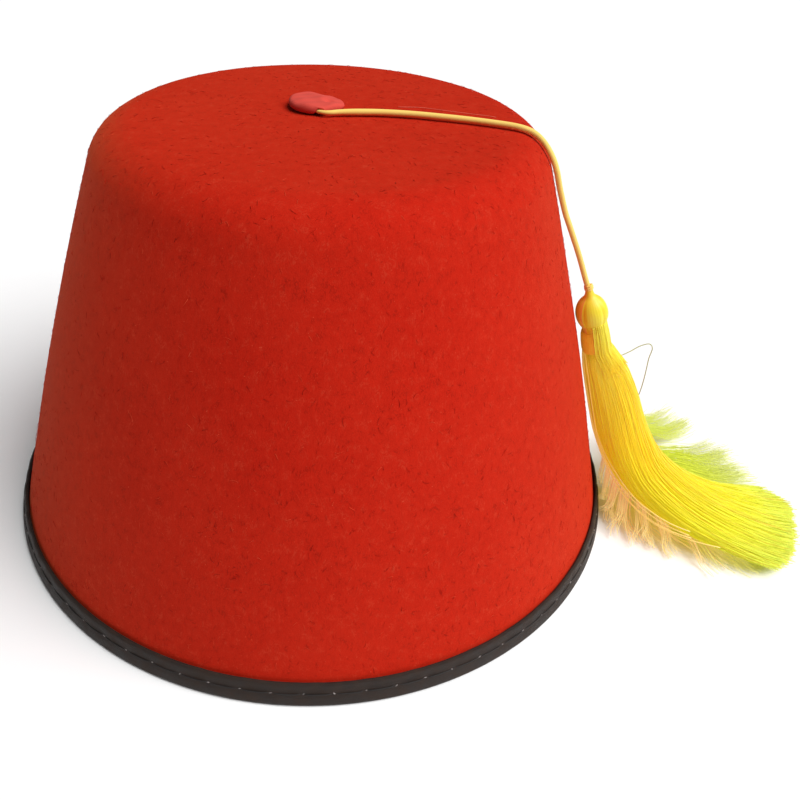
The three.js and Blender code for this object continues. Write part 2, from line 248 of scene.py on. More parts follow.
def tube_mesh(
    name: str,
    paths: np.ndarray,
    radius: np.ndarray,
    sides: int,
    tone: np.ndarray | None = None,
    flat: float = 1.0,
) -> Piece:
    """Make one mesh of closed tubes along paths, as for threads.

    Args:
        name: the piece's name.
        paths: tubes by rings by x, y, z.
        radius: the tubes' radius, which broadcasts to tubes by rings.
        sides: corners of each ring.
        tone: one value for each tube, kept on its points as the attribute "tone".
        flat: share of the radius that is left in the second direction of the section.

    Returns:
        The piece. Its attribute "along" runs from 0 to 1 on each tube.
    """
    tubes, rings, _ = paths.shape
    radius = np.broadcast_to(radius, (tubes, rings))[..., None]
    tangents = unit(np.gradient(paths, axis=1))
    normals = np.empty_like(paths)
    helper = np.where(np.abs(tangents[:, 0, 2:]) < 0.9, [[0, 0, 1.0]], [[1.0, 0, 0]])
    normal = unit(np.cross(tangents[:, 0], helper))
    for ring in range(rings):
        tangent = tangents[:, ring]
        normal = unit(normal - np.sum(normal * tangent, axis=-1, keepdims=True) * tangent)
        normals[:, ring] = normal
    sideways = np.cross(tangents, normals)
    turns = np.arange(sides) * 2 * math.pi / sides
    corners = [
        paths + radius * (math.cos(turn) * normals + flat * math.sin(turn) * sideways)
        for turn in turns
    ]
    points = np.stack(corners, axis=2).reshape(-1, 3)

    grid = np.arange(tubes * rings * sides).reshape(tubes, rings, sides)
    beside = np.roll(grid, -1, axis=2)
    quads = np.stack([grid[:, :-1], beside[:, :-1], beside[:, 1:], grid[:, 1:]], axis=-1)
    faces = quads.reshape(-1, 4).tolist()
    faces += grid[:, 0, ::-1].tolist()
    faces += grid[:, -1].tolist()

    mesh = bpy.data.meshes.new(name)
    mesh.from_pydata(points.tolist(), [], faces)
    note(mesh, "along", np.broadcast_to(np.linspace(0, 1, rings)[None, :, None], grid.shape))
    if tone is not None:
        note(mesh, "tone", np.broadcast_to(tone[:, None, None], grid.shape))
    mesh.shade_smooth()
    mesh.update()
    piece = bpy.data.objects.new(name, mesh)
    bpy.context.scene.collection.objects.link(piece)
    return piece


def wander(rng: np.random.Generator, count: int, share: np.ndarray, waves: float) -> np.ndarray:
    """Give each thread a smooth sidestep of about -1 to 1 that changes along it.

    Args:
        rng: the source of chance.
        count: threads.
        share: place along each thread, threads by rings.
        waves: about how many times a thread sways.

    Returns:
        Threads by rings.
    """
    phase = rng.uniform(0, 2 * math.pi, (count, 2, 1))
    beat = waves * rng.uniform(0.7, 1.3, (count, 2, 1)) * 2 * math.pi
    slow = np.sin(beat[:, 0] * share + phase[:, 0])
    fast = np.sin(2.3 * beat[:, 1] * share + phase[:, 1])
    return 0.7 * slow + 0.3 * fast


# Materials


class Nodes:
    """Adds nodes to a tree and links them."""

    def __init__(self, tree: bpy.types.NodeTree) -> None:
        """Keep the tree."""
        self.tree = tree

    def add(self, kind: str, inputs: Inputs | None = None, **settings: object) -> bpy.types.Node:
        """Add one node.

        Args:
            kind: the node's type without the leading ShaderNode.
            inputs: value or socket for each input, by name or number.
            settings: the node's properties.

        Returns:
            The node.
        """
        node = self.tree.nodes.new(f"ShaderNode{kind}")
        for name, value in settings.items():
            setattr(node, name, value)
        self.fill(node, inputs or {})
        return node

    def fill(self, node: bpy.types.Node, inputs: Inputs) -> None:
        """Lead a value or socket to each named input of a node."""
        for key, value in inputs.items():
            self.feed(node.inputs[key], value)

    def feed(self, socket: Socket, value: object) -> None:
        """Link a socket to an input, or set the input's value."""
        if isinstance(value, Socket):
            self.tree.links.new(value, socket)
        elif isinstance(value, tuple) and socket.type == "RGBA":
            socket.default_value = (*value, 1.0)
        else:
            socket.default_value = value

    def noise(self, vector: object, scale: object, detail: float = 2.0, bend: float = 0.0) -> Socket:
        """Add a noise and give its value."""
        inputs = {"Vector": vector, "Scale": scale, "Detail": detail, "Distortion": bend}
        return self.add("TexNoise", inputs).outputs[0]

    def math(self, operation: str, *values: object) -> Socket:
        """Add a sum, product or other operation and give its value."""
        inputs = dict(enumerate(values))
        return self.add("Math", inputs, operation=operation).outputs[0]

    def times(self, first: object, second: object) -> Socket:
        """Multiply two values."""
        return self.math("MULTIPLY", first, second)

    def spread(self, value: object, low: float, high: float) -> Socket:
        """Stretch the part of a value between low and high to 0 and 1."""
        inputs = {"Value": value, "From Min": low, "From Max": high}
        return self.add("MapRange", inputs).outputs[0]

    def mix(self, share: object, first: object, second: object) -> Socket:
        """Mix two colours."""
        inputs = {0: share, 6: first, 7: second}
        return self.add("Mix", inputs, data_type="RGBA").outputs[2]

    def place(self) -> Socket:
        """Read the place on the object."""
        return self.add("TexCoord").outputs["Object"]

    def group(self, tree: bpy.types.NodeTree, inputs: Inputs) -> dict[str, Socket]:
        """Put a node group in with its own inputs, and give its outputs."""
        node = self.add("Group", node_tree=tree)
        self.fill(node, inputs)
        return dict(node.outputs.items())

    def attribute(self, name: str) -> Socket:
        """Read a value from the mesh."""
        return self.add("Attribute", attribute_name=name).outputs["Fac"]


def new_group(
    name: str, takes: dict[str, object], gives: Sequence[str]
) -> tuple[Nodes, dict[str, Socket], bpy.types.Node]:
    """Start a shader node group.

    Args:
        name: the group's name.
        takes: each input's name and its default, a number or a vector.
        gives: each output's name. All are numbers.

    Returns:
        The nodes, the sockets that bring the inputs and the node that takes the outputs.
    """
    tree = bpy.data.node_groups.new(name, "ShaderNodeTree")
    for label, default in takes.items():
        kind = "NodeSocketVector" if isinstance(default, tuple) else "NodeSocketFloat"
        socket = tree.interface.new_socket(label, in_out="INPUT", socket_type=kind)
        socket.default_value = default
    for label in gives:
        tree.interface.new_socket(label, in_out="OUTPUT", socket_type="NodeSocketFloat")
    entry = tree.nodes.new("NodeGroupInput")
    brought = {label: entry.outputs[label] for label in takes}
    return Nodes(tree), brought, tree.nodes.new("NodeGroupOutput")


@cache
def felt_fibres() -> bpy.types.NodeTree:
    """Make the matted fibres of felt once: their clumps, curled single fibres, specks and height."""
    gives = ("Clumps", "Fibres", "Specks", "Dark", "Pale", "Height")
    takes = {"Vector": (0.0, 0.0, 0.0), "Clump": 0.0012}
    nodes, brought, leaving = new_group("felt_fibres", takes, gives)
    pace = nodes.math("DIVIDE", 1.0, brought["Clump"])
    place = brought["Vector"]
    drawn = nodes.add("VectorMath", {0: place, 1: (1.0, 1.0, 0.42)}, operation="MULTIPLY").outputs[0]
    clumps = nodes.noise(drawn, nodes.times(pace, 0.8), 4.0)
    fine = nodes.noise(drawn, nodes.times(pace, 3.4), 3.0, 1.6)
    specks = nodes.noise(place, nodes.times(pace, 1.9), 1.0)
    bent = nodes.noise(drawn, nodes.times(pace, 0.62), 1.0, 2.2)
    patch = nodes.noise(place, nodes.times(pace, 0.34), 1.0)
    off_line = nodes.math("ABSOLUTE", nodes.math("SUBTRACT", bent, 0.5))
    line = nodes.spread(off_line, 0.06, 0.01)
    masks = {
        "Dark": nodes.times(line, nodes.spread(patch, 0.55, 0.66)),
        "Pale": nodes.times(line, nodes.spread(patch, 0.48, 0.36)),
        "Clumps": nodes.spread(clumps, 0.32, 0.68),
        "Fibres": nodes.spread(fine, 0.35, 0.7),
        "Specks": nodes.spread(specks, 0.74, 0.8),
        "Height": nodes.math("ADD", nodes.times(clumps, 0.6), fine),
    }
    nodes.fill(leaving, masks)
    return nodes.tree


@cache
def silk_streaks() -> bpy.types.NodeTree:
    """Make the fine filaments along a silk thread once: streaks that follow its length."""
    takes = {"Along": 0.0, "Tone": 0.0, "Vector": (0.0, 0.0, 0.0)}
    nodes, brought, leaving = new_group("silk_streaks", takes, ("Streaks", "Height"))
    parts = {0: nodes.times(brought["Along"], 5.0), 1: nodes.times(brought["Tone"], 91.0)}
    slow = nodes.noise(nodes.add("CombineXYZ", parts).outputs[0], 1.0)
    fine = nodes.noise(brought["Vector"], 2600.0)
    nodes.fill(leaving, {"Streaks": nodes.spread(slow, 0.3, 0.7), "Height": fine})
    return nodes.tree


def new_material(name: str) -> tuple[bpy.types.Material, Nodes, bpy.types.Node]:
    """Start a material with its shader.

    Args:
        name: the material's name.

    Returns:
        The material, its nodes and its shader.
    """
    material = bpy.data.materials.new(name)
    material.use_nodes = True
    nodes = Nodes(material.node_tree)
    return material, nodes, material.node_tree.nodes["Principled BSDF"]


def bump(nodes: Nodes, shader: bpy.types.Node, height: object, distance: float) -> None:
    """Lead a height to a shader's normal, with the height's depth in metres."""
    node = nodes.add("Bump", {"Height": height, "Distance": distance, "Strength": 1.0})
    nodes.feed(shader.inputs["Normal"], node.outputs[0])


@dataclass(frozen=True)
class FeltFinish:
    """Matted wool felt with a short nap."""

    name: str
    deep: Colour
    ground: Colour
    pale: Colour
    speck: Colour
    dark_fibre: Colour = linear(112, 8, 3)
    haze: Colour = linear(250, 130, 70)
    clump: float = 0.9 * MM
    depth: float = 0.08 * MM
    sheen: float = 0.28

    def material(self) -> bpy.types.Material:
        """Make the material."""
        material, nodes, shader = new_material(self.name)
        place = nodes.place()
        masks = nodes.group(felt_fibres(), {"Vector": place, "Clump": self.clump})
        patches = nodes.spread(nodes.noise(place, 38.0, 3.0), 0.35, 0.65)
        colour = nodes.mix(masks["Clumps"], self.deep, self.ground)
        layers = (
            (masks["Fibres"], 0.42, self.pale),
            (patches, 0.18, self.pale),
            (masks["Specks"], 0.3, self.speck),
            (masks["Dark"], 0.34, self.dark_fibre),
            (masks["Pale"], 0.1, self.speck),
        )
        for mask, share, tint in layers:
            colour = nodes.mix(nodes.times(mask, share), colour, tint)
        look = {
            "Base Color": colour,
            "Roughness": nodes.math("MULTIPLY_ADD", masks["Fibres"], -0.08, 0.96),
            "Specular IOR Level": 0.08,
            "Sheen Weight": self.sheen,
            "Sheen Roughness": 0.5,
            "Sheen Tint": self.haze,
        }
        nodes.fill(shader, look)
        bump(nodes, shader, masks["Height"], self.depth)
        return material


@dataclass(frozen=True)
class TapeFinish:
    """Dark woven tape: cross ribs with a faint twill between them."""

    name: str = "dark_tape"
    dark: Colour = linear(28, 18, 13)
    light: Colour = linear(59, 42, 31)
    ribs: int = 1180
    row: float = 0.45 * MM

    def material(self) -> bpy.types.Material:
        """Make the material."""
        material, nodes, shader = new_material(self.name)
        place = nodes.place()
        x, y, z = nodes.add("SeparateXYZ", {0: place}).outputs
        level = nodes.add("CombineXYZ", {0: x, 1: y})
        radius = nodes.add("VectorMath", {0: level.outputs[0]}, operation="LENGTH")
        across = nodes.math("SUBTRACT", z, radius.outputs["Value"])
        ribs = nodes.math("SINE", nodes.times(nodes.math("ARCTAN2", y, x), float(self.ribs)))
        rows = nodes.math("SINE", nodes.times(across, 2 * math.pi / self.row))
        weave = nodes.times(ribs, rows)
        worn = nodes.spread(nodes.noise(place, 320.0, 4.0), 0.4, 0.75)
        share = nodes.math("MULTIPLY_ADD", weave, 0.14, nodes.math("MULTIPLY_ADD", worn, 0.5, 0.16))
        look = {
            "Base Color": nodes.mix(share, self.dark, self.light),
            "Roughness": nodes.math("MULTIPLY_ADD", worn, 0.2, 0.5),
            "Specular IOR Level": 0.3,
            "Sheen Weight": 0.03,
            "Sheen Roughness": 0.4,
        }
        nodes.fill(shader, look)
        bump(nodes, shader, nodes.math("MULTIPLY_ADD", worn, 0.6, weave), 0.05 * MM)
        return material


@dataclass(frozen=True)
class SilkFinish:
    """Silky rayon thread whose colour changes from its root to its tip. An emission of the same colour is
    painted light that brightens the threads as if light shone through them.
    """

    name: str
    stops: tuple[tuple[float, Colour], ...]
    shade: Colour
    variety: float = 0.5
    rough: float = 0.42
    gloss: float = 0.5
    # Emission strength: painted light that brightens the threads, most where they lie in shade.
    painted_glow: float = 0.16

    def material(self) -> bpy.types.Material:
        """Make the material."""
        material, nodes, shader = new_material(self.name)
        along = nodes.attribute("along")
        tone = nodes.attribute("tone")
        inputs = {"Along": along, "Tone": tone, "Vector": nodes.place()}
        streaks = nodes.group(silk_streaks(), inputs)
        ramp = nodes.add("ValToRGB", {0: along})
        marks = ramp.color_ramp.elements
        for mark, (position, colour) in zip(marks, (self.stops[0], self.stops[-1])):
            mark.position = position
            mark.color = (*colour, 1.0)
        for position, colour in self.stops[1:-1]:
            marks.new(position).color = (*colour, 1.0)
        darker = nodes.times(nodes.math("POWER", tone, 4.0), self.variety)
        colour = nodes.mix(darker, ramp.outputs[0], self.shade)
        colour = nodes.mix(nodes.times(streaks["Streaks"], 0.2), colour, self.shade)
        look = {
            "Base Color": colour,
            # The emission makes the threads glow with painted light that stands in for light shining through
            # and between them.
            "Emission Color": colour,
            "Emission Strength": self.painted_glow,
            "Roughness": nodes.math("MULTIPLY_ADD", tone, 0.14, self.rough),
            "Specular IOR Level": self.gloss,
            "Sheen Weight": 0.1,
        }
        nodes.fill(shader, look)
        bump(nodes, shader, streaks["Height"], 0.02 * MM)
        return material


@dataclass(frozen=True)
class StitchFinish:
    """Matt sewing thread."""

    name: str
    colour: Colour

    def material(self) -> bpy.types.Material:
        """Make the material."""
        material, nodes, shader = new_material(self.name)
        twist = nodes.noise(nodes.place(), 2400.0)
        lighter = tuple(min(1.0, 1.6 * channel) for channel in self.colour)
        colour = nodes.mix(nodes.spread(twist, 0.3, 0.7), self.colour, lighter)
        rough = nodes.math("MULTIPLY_ADD", twist, 0.2, 0.55)
        nodes.fill(shader, {"Base Color": colour, "Roughness": rough})
        bump(nodes, shader, twist, 0.06 * MM)
        return material


@dataclass(frozen=True)
class FibreFinish:
    """Single wool fibres, each between dark and pale."""

    name: str
    dark: Colour
    ground: Colour
    pale: Colour

    def material(self) -> bpy.types.Material:
        """Make the material."""
        material, nodes, shader = new_material(self.name)
        tone = nodes.attribute("tone")
        colour = nodes.mix(nodes.spread(tone, 0.0, 0.4), self.dark, self.ground)
        colour = nodes.mix(nodes.spread(tone, 0.75, 1.0), colour, self.pale)
        rough = nodes.math("MULTIPLY_ADD", tone, -0.1, 0.9)
        nodes.fill(shader, {"Base Color": colour, "Roughness": rough, "Specular IOR Level": 0.1})
        return material


RED_FELT = FeltFinish(
    name="red_felt",
    deep=linear(177, 19, 6),
    ground=linear(186, 23, 8),
    pale=linear(206, 44, 23),
    speck=linear(236, 110, 76),
)
WOOL_NAP = FibreFinish(
    name="wool_nap",
    dark=linear(116, 12, 5),
    ground=linear(188, 25, 9),
    pale=linear(224, 84, 52),
)
BUTTON_FELT = FeltFinish(
    name="button_felt",
    deep=linear(156, 28, 17),
    ground=linear(178, 41, 28),
    pale=linear(198, 66, 49),
    speck=linear(240, 140, 116),
    clump=0.7 * MM,
)
GOLD_SILK = SilkFinish(
    name="gold_silk",
    stops=(
        (0.0, linear(252, 228, 60)),
        (0.1, linear(255, 227, 44)),
        (0.42, linear(255, 226, 28)),
        (0.6, linear(252, 239, 28)),
        (0.8, linear(246, 249, 42)),
        (1.0, linear(226, 244, 84)),
    ),
    shade=linear(220, 176, 22),
    variety=0.7,
    painted_glow=0.22,
)
LIME_SILK = SilkFinish(
    name="lime_silk",
    stops=(
        (0.0, linear(246, 222, 40)),
        (0.4, linear(222, 230, 50)),
        (0.7, linear(222, 230, 84)),
        (1.0, linear(226, 230, 146)),
    ),
    shade=linear(156, 164, 56),
    variety=0.85,
    painted_glow=0.22,
)
FRINGE_SILK = SilkFinish(
    name="fringe_silk",
    stops=((0.0, linear(240, 200, 70)), (0.6, linear(230, 216, 84)), (1.0, linear(230, 226, 140))),
    shade=linear(180, 170, 70),
    variety=0.7,
    painted_glow=0.4,
)
PEACH_SILK = SilkFinish(
    name="peach_silk",
    stops=(
        (0.0, linear(240, 182, 86)),
        (0.5, linear(244, 208, 152)),
        (0.75, linear(240, 216, 138)),
        (1.0, linear(240, 226, 158)),
    ),
    shade=linear(206, 132, 88),
    variety=0.8,
    painted_glow=0.42,
)
LOOSE_SILK = SilkFinish(
    name="loose_silk",
    stops=((0.0, linear(250, 212, 100)), (0.5, linear(246, 212, 120)), (1.0, linear(248, 220, 130))),
    shade=linear(220, 160, 70),
    painted_glow=0.35,
)
HEAD_SILK = SilkFinish(
    name="head_silk",
    stops=(
        (0.0, linear(250, 196, 36)),
        (0.3, linear(246, 204, 36)),
        (0.5, linear(234, 220, 34)),
        (0.75, linear(234, 222, 44)),
        (1.0, linear(236, 204, 50)),
    ),
    # The shade is mostly the pale orange of the painted highlight band on the head's left side.
    shade=linear(244, 172, 74),
    variety=0.85,
    painted_glow=0.07,
)
NECK_SILK = SilkFinish(
    name="neck_silk",
    stops=((0.0, linear(242, 230, 62)), (0.6, linear(250, 232, 52)), (1.0, linear(255, 222, 40))),
    shade=linear(222, 186, 30),
    variety=0.5,
    painted_glow=0.05,
)
WRAP_SILK = SilkFinish(
    name="wrap_silk",
    stops=((0.0, linear(252, 212, 64)), (1.0, linear(252, 204, 56))),
    shade=linear(238, 160, 40),
    painted_glow=0.16,
)
CORD_SATIN = SilkFinish(
    name="cord_satin",
    stops=((0.0, linear(226, 130, 90)), (0.08, linear(222, 156, 52)), (1.0, linear(224, 160, 40))),
    shade=linear(186, 116, 14),
    variety=0.2,
    rough=0.3,
    gloss=0.9,
    painted_glow=0.02,
)
GREY_THREAD = SilkFinish(
    name="stray_silk",
    stops=((0.0, linear(196, 200, 120)), (1.0, linear(168, 174, 146))),
    shade=linear(140, 146, 120),
    painted_glow=0.0,
)
DARK_STITCH = StitchFinish(name="dark_stitch", colour=linear(20, 15, 13))
PALE_KNOT = StitchFinish(name="pale_knot", colour=linear(126, 118, 116))
PINK_FIBRE = StitchFinish(name="pink_fibre", colour=linear(214, 104, 82))


# The hat's form, which several pieces follow


@dataclass(frozen=True)
class HatForm:
    """The outside of the felt body."""

    base_radius: float = 93.3 * MM
    height: float = 116.4 * MM
    top_radius: float = 57 * MM
    edge_round: float = 12.4 * MM
    dome: float = 1 * MM
    top_lean: float = 1.1 * MM
    bulge: float = 1.1 * MM
    felt: float = 2 * MM
    tape: float = 1 * MM
    binding_height: float = 6.8 * MM
    clearance: float = 0.3 * MM

    @property
    def slope(self) -> float:
        """The side's lean from upright, in radians."""
        return math.atan((self.base_radius - self.top_radius) / self.height)

    @property
    def edge_radius(self) -> float:
        """Radius of the circle that the top edge's rounding is centred on."""
        return self.top_radius - self.edge_round / math.tan((math.pi / 2 + self.slope) / 2)

    @property
    def edge_height(self) -> float:
        """Height of that circle."""
        return self.height - self.edge_round

    @property
    def side_top(self) -> float:
        """Height where the side ends and the rounding begins."""
        return self.edge_height + self.edge_round * math.sin(self.slope)

    def side_radius(self, height: np.ndarray | float) -> np.ndarray:
        """Give the side's radius at a height."""
        share = np.clip(np.asarray(height, float) / self.side_top, 0, 1)
        return self.base_radius - height * math.tan(self.slope) + self.bulge * 4 * share * (1 - share)

    def lean(self, points: np.ndarray) -> np.ndarray:
        """Raise the top at the tassel's side and lower it at the other."""
        moved = points.copy()
        moved[:, 2] += self.top_lean * (points[:, 0] / self.top_radius) * (points[:, 2] / self.height) ** 2
        return moved

    def top_height(self, x: np.ndarray | float, y: np.ndarray | float) -> np.ndarray:
        """Give the top's height at a place well inside its edge."""
        share = np.hypot(x, y) / self.edge_radius
        level = self.height + self.dome * (1 - share**2)
        return level + self.top_lean * (np.asarray(x) / self.top_radius) * (level / self.height) ** 2

    def outline(self, foot: float, side: int, edge: int, top: int) -> list[tuple[float, float]]:
        """Give radius and height from the lower edge to the middle of the top."""
        rings = []
        for step in range(side):
            height = foot + (self.side_top - foot) * step / side
            rings.append((float(self.side_radius(height)), height))
        for step in range(edge + 1):
            turn = self.slope + (math.pi / 2 - self.slope) * step / edge
            radius = self.edge_radius + self.edge_round * math.cos(turn)
            rings.append((radius, self.edge_height + self.edge_round * math.sin(turn)))
        for step in range(1, top + 1):
            share = 1 - step / top
            rings.append((self.edge_radius * share, self.height + self.dome * (1 - share**2)))
        return rings


FORM = HatForm()
HANG_AZIMUTH = math.radians(-10)
OUTWARD = np.array([math.cos(HANG_AZIMUTH), math.sin(HANG_AZIMUTH), 0.0])
SIDEWAYS = np.array([-math.sin(HANG_AZIMUTH), math.cos(HANG_AZIMUTH), 0.0])
UP = np.array([0.0, 0.0, 1.0])
FLOOR_GAP = 0.3 * MM


def clear_of_hat(points: np.ndarray, gap: float) -> np.ndarray:
    """Push points out to a distance from the hat's side and up from the surface it stands on."""
    moved = points.copy()
    moved[..., 2] = np.maximum(moved[..., 2], gap)
    radius = np.hypot(moved[..., 0], moved[..., 1])
    proud = np.where(moved[..., 2] < FORM.binding_height + 1 * MM, (FORM.tape + FORM.clearance) * 1.1, 0)
    least = FORM.side_radius(moved[..., 2]) + proud + gap
    moved[..., :2] *= (np.maximum(radius, least) / np.maximum(radius, 1e-9))[..., None]
    return moved


# Pieces


@dataclass
class Studio:
    """Pale floor, soft light and the photograph's camera."""

    stand: tuple[float, float, float] = (0.0, -208.83 * MM, 182.72 * MM)
    yaw: float = 0.121
    pitch: float = 0.642
    roll: float = 0.086
    lens: float = 36.0
    floor_size: float = 6.0
    sky: float = 0.085
    sun: float = 3.98
    sun_from: tuple[float, float, float] = (0.54, -0.21, 0.86)
    sun_spread: float = 0.85

    def camera(self) -> None:
        """Place the camera."""
        forward = Vector((math.sin(self.yaw), math.cos(self.yaw), 0))
        ahead = forward * math.cos(self.pitch) - Vector((0, 0, math.sin(self.pitch)))
        level = Vector((math.cos(self.yaw), -math.sin(self.yaw), 0))
        above = level.cross(ahead)
        right = level * math.cos(self.roll) + above * math.sin(self.roll)
        top = above * math.cos(self.roll) - level * math.sin(self.roll)
        data = bpy.data.cameras.new("photo_camera")
        data.lens = self.lens
        data.sensor_width = 36.0
        data.sensor_fit = "HORIZONTAL"
        data.clip_start = 0.01
        camera = bpy.data.objects.new("photo_camera", data)
        bpy.context.scene.collection.objects.link(camera)
        turn = Matrix((right, top, -ahead)).transposed()
        camera.matrix_world = Matrix.Translation(self.stand) @ turn.to_4x4()
        bpy.context.scene.camera = camera

    def lights(self) -> None:
        """Place a large soft light at the right and an even sky."""
        data = bpy.data.lights.new("key", "SUN")
        data.energy = self.sun
        data.angle = self.sun_spread
        light = bpy.data.objects.new("key", data)
        light.location = self.sun_from
        light.rotation_euler = (-Vector(self.sun_from)).to_track_quat("-Z", "Y").to_euler()
        bpy.context.scene.collection.objects.link(light)
        world = bpy.data.worlds.new("studio")
        world.use_nodes = True
        sky = world.node_tree.nodes["Background"]
        sky.inputs["Color"].default_value = (1, 1, 1, 1)
        sky.inputs["Strength"].default_value = self.sky
        bpy.context.scene.world = world
        bpy.context.scene.view_settings.view_transform = "Standard"

    def floor(self) -> None:
        """Lay the floor."""
        start_clean()
        bpy.ops.mesh.primitive_plane_add(size=self.floor_size)
        floor = bpy.context.active_object
        floor.name = "floor"
        material, nodes, shader = new_material("pale_floor")
        grain = nodes.noise(nodes.place(), 60.0)
        colour = nodes.mix(grain, (0.92, 0.92, 0.92), (0.94, 0.94, 0.94))
        nodes.fill(shader, {"Base Color": colour, "Roughness": 0.9})
        floor.data.materials.append(material)

    def build(self) -> None:
        """Set up everything but the hat."""
        self.camera()
        self.lights()
        self.floor()


def dress(piece: Piece, finish: object, slot: str, *nodes: str) -> Piece:
    """Give a piece its finish and body, and hide the nodes it stands for.

    Args:
        piece: the piece.
        finish: a finish with a material method.
        slot: not used.
        nodes: the CAD nodes that it replaces.

    Returns:
        The piece.
    """
    name = finish.name
    material = bpy.data.materials.get(name) or finish.material()
    piece.data.materials.clear()
    piece.data.materials.append(material)
    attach(piece, BODY)
    if nodes:
        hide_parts(*nodes)
    log.info("%s: %d faces", piece.name, len(piece.data.polygons))
    return piece


@dataclass
class SatinCord:
    """The thin cord from under the button, over the top's edge and down to the tassel.

    The columns of route are x, y and z, in millimetres. The share pulled is what is left of the diameter
    where the cord is taut.
    """

    diameter: float = 1.7 * MM
    pulled: float = 0.93
    start_share: float = 0.42
    taper_length: float = 17 * MM
    sides: int = 14
    spacing: float = 0.55 * MM
    route: Rows = (
        (-3.4, 2.2, 118.5), (-3.9, 0.6, 118.49), (-3.6, -1, 118.5), (-2.7, -2.4, 118.52),
        (-1.5, -3.4, 118.54), (-0.2, -3.8, 118.56), (1.15, -3.75, 118.59), (2.9, -3.25, 118.62),
        (5.4, -2.8, 118.66), (8.7, -2.45, 118.71), (13.8, -2.1, 118.76), (21.5, -2.4, 118.79),
        (29.2, -3.4, 118.77), (36.8, -4.6, 118.69), (43.7, -6.05, 118.57), (47.1, -6.95, 118.49),
        (49.6, -7.75, 118.3), (51.8, -8.3, 117.78), (53.6, -9.1, 116.95), (55, -10.2, 115.9),
        (56.2, -12, 114.6), (57.5, -13.5, 112.6), (58.8, -14.2, 109.8), (60.3, -13.9, 105.8),
        (61.95, -13.3, 101.9), (63.7, -13.1, 97.9), (65.4, -13.3, 94.6), (67.1, -13.4, 91.3),
        (69, -13.35, 87.6), (70.9, -13.25, 83.7), (72.6, -13.2, 80), (73.8, -13.15, 77.5),
        (74.5, -13.1, 76.25),
    )

    def path(self) -> np.ndarray:
        """Give points along the cord's middle."""
        return SmoothPath(np.array(self.route) * MM).even(self.spacing)

    def radius_at(self, run: np.ndarray) -> np.ndarray:
        """Give the cord's radius at a distance from its start, where it is pressed thin under the button."""
        share = self.start_share + (1 - self.start_share) * smooth_step(0, self.taper_length, run)
        return self.diameter / 2 * self.pulled * share

    def build(self) -> Piece:
        """Make the cord."""
        path = self.path()
        radius = self.radius_at(run_along(path))
        return tube_mesh("satin_cord", path[None], radius[None], self.sides, np.array([0.35]))


@dataclass
class Crown:
    """The felt body: a side that narrows upward, a rounded edge and a nearly flat top, open below."""

    form: HatForm = FORM
    steps: int = 240
    side_rings: int = 34
    edge_rings: int = 14
    top_rings: int = 14
    unevenness: float = 0.16 * MM

    def build(self) -> Piece:
        """Model the outside and give it the felt's thickness."""
        foot = self.form.tape + self.form.clearance
        rings = self.form.outline(foot, self.side_rings, self.edge_rings, self.top_rings)
        piece = ring_stack("felt_crown", rings, self.steps)
        points = self.form.lean(points_of(piece))
        move_points(piece, self.uneven(points))
        apply_modifier(
            piece, "SOLIDIFY", thickness=self.form.felt, offset=-1.0, use_even_offset=True, use_rim=True
        )
        return piece

    def uneven(self, points: np.ndarray) -> np.ndarray:
        """Give the blocked felt its faint hollows and swells, which fade towards the binding."""
        radius, angle = polar(points)
        height = points[:, 2]
        wave = 0.5 * np.sin(3 * angle + 55 * height) + 0.3 * np.sin(7 * angle - 80 * height + 1.3)
        wave += 0.2 * np.sin(13 * angle + 130 * height + 4.0)
        fade = smooth_step(self.form.binding_height, 4 * self.form.binding_height, height)
        fade = fade * smooth_step(0.0, self.form.edge_radius, radius)
        return swell(points, self.unevenness * wave * fade)


@dataclass
class Nap:
    """Single fibres that stand a little off the felt."""

    form: HatForm = FORM
    count: int = 5600
    length: tuple[float, float] = (0.6 * MM, 1.9 * MM)
    lift: tuple[float, float] = (0.04 * MM, 0.24 * MM)
    thickness: float = 0.045 * MM
    sunk: float = 0.03 * MM
    seed: int = 5

    def build(self) -> Piece:
        """Scatter the fibres over the side, the edge and the top."""
        rng = np.random.default_rng(self.seed)
        rings = self.form.outline(self.form.binding_height + 1 * MM, 60, 20, 30)
        profile = np.array(rings)
        pieces = np.linalg.norm(np.diff(profile, axis=0), axis=1)
        area = pieces * (profile[:-1, 0] + profile[1:, 0])
        row = rng.choice(len(pieces), self.count, p=area / area.sum())
        share = rng.uniform(0, 1, self.count)[:, None]
        place = profile[row] * (1 - share) + profile[row + 1] * share
        slope = unit(profile[row + 1] - profile[row])
        angle = rng.uniform(0, 2 * math.pi, self.count)
        radial = np.stack([np.cos(angle), np.sin(angle), 0 * angle], axis=1)
        around = np.stack([-np.sin(angle), np.cos(angle), 0 * angle], axis=1)
        rising = radial * slope[:, :1] + UP * slope[:, 1:]
        outward = radial * slope[:, 1:] - UP * slope[:, :1]
        root = self.form.lean(radial * place[:, :1] + UP * place[:, 1:])
        turn = rng.normal(0, 0.8, self.count)[:, None] + math.pi * rng.integers(0, 2, self.count)[:, None]
        ahead = rising * np.cos(turn) + around * np.sin(turn)
        beside = rising * -np.sin(turn) + around * np.cos(turn)
        length = rng.uniform(*self.length, self.count)[:, None]
        lift = rng.uniform(*self.lift, self.count)[:, None]
        curl = rng.normal(0, 0.5, self.count)[:, None] * length
        rings = []
        for share in np.linspace(0, 1, 4):
            rise = lift * math.sin(1.9 * share) - self.sunk
            rings.append(root + outward * rise + ahead * length * share + beside * curl * share * share)
        paths = np.stack(rings, axis=1)
        radius = self.thickness * np.array([[1.0, 0.95, 0.8, 0.3]])
        return tube_mesh("felt_nap", paths, radius, 3, rng.uniform(0, 1, self.count))


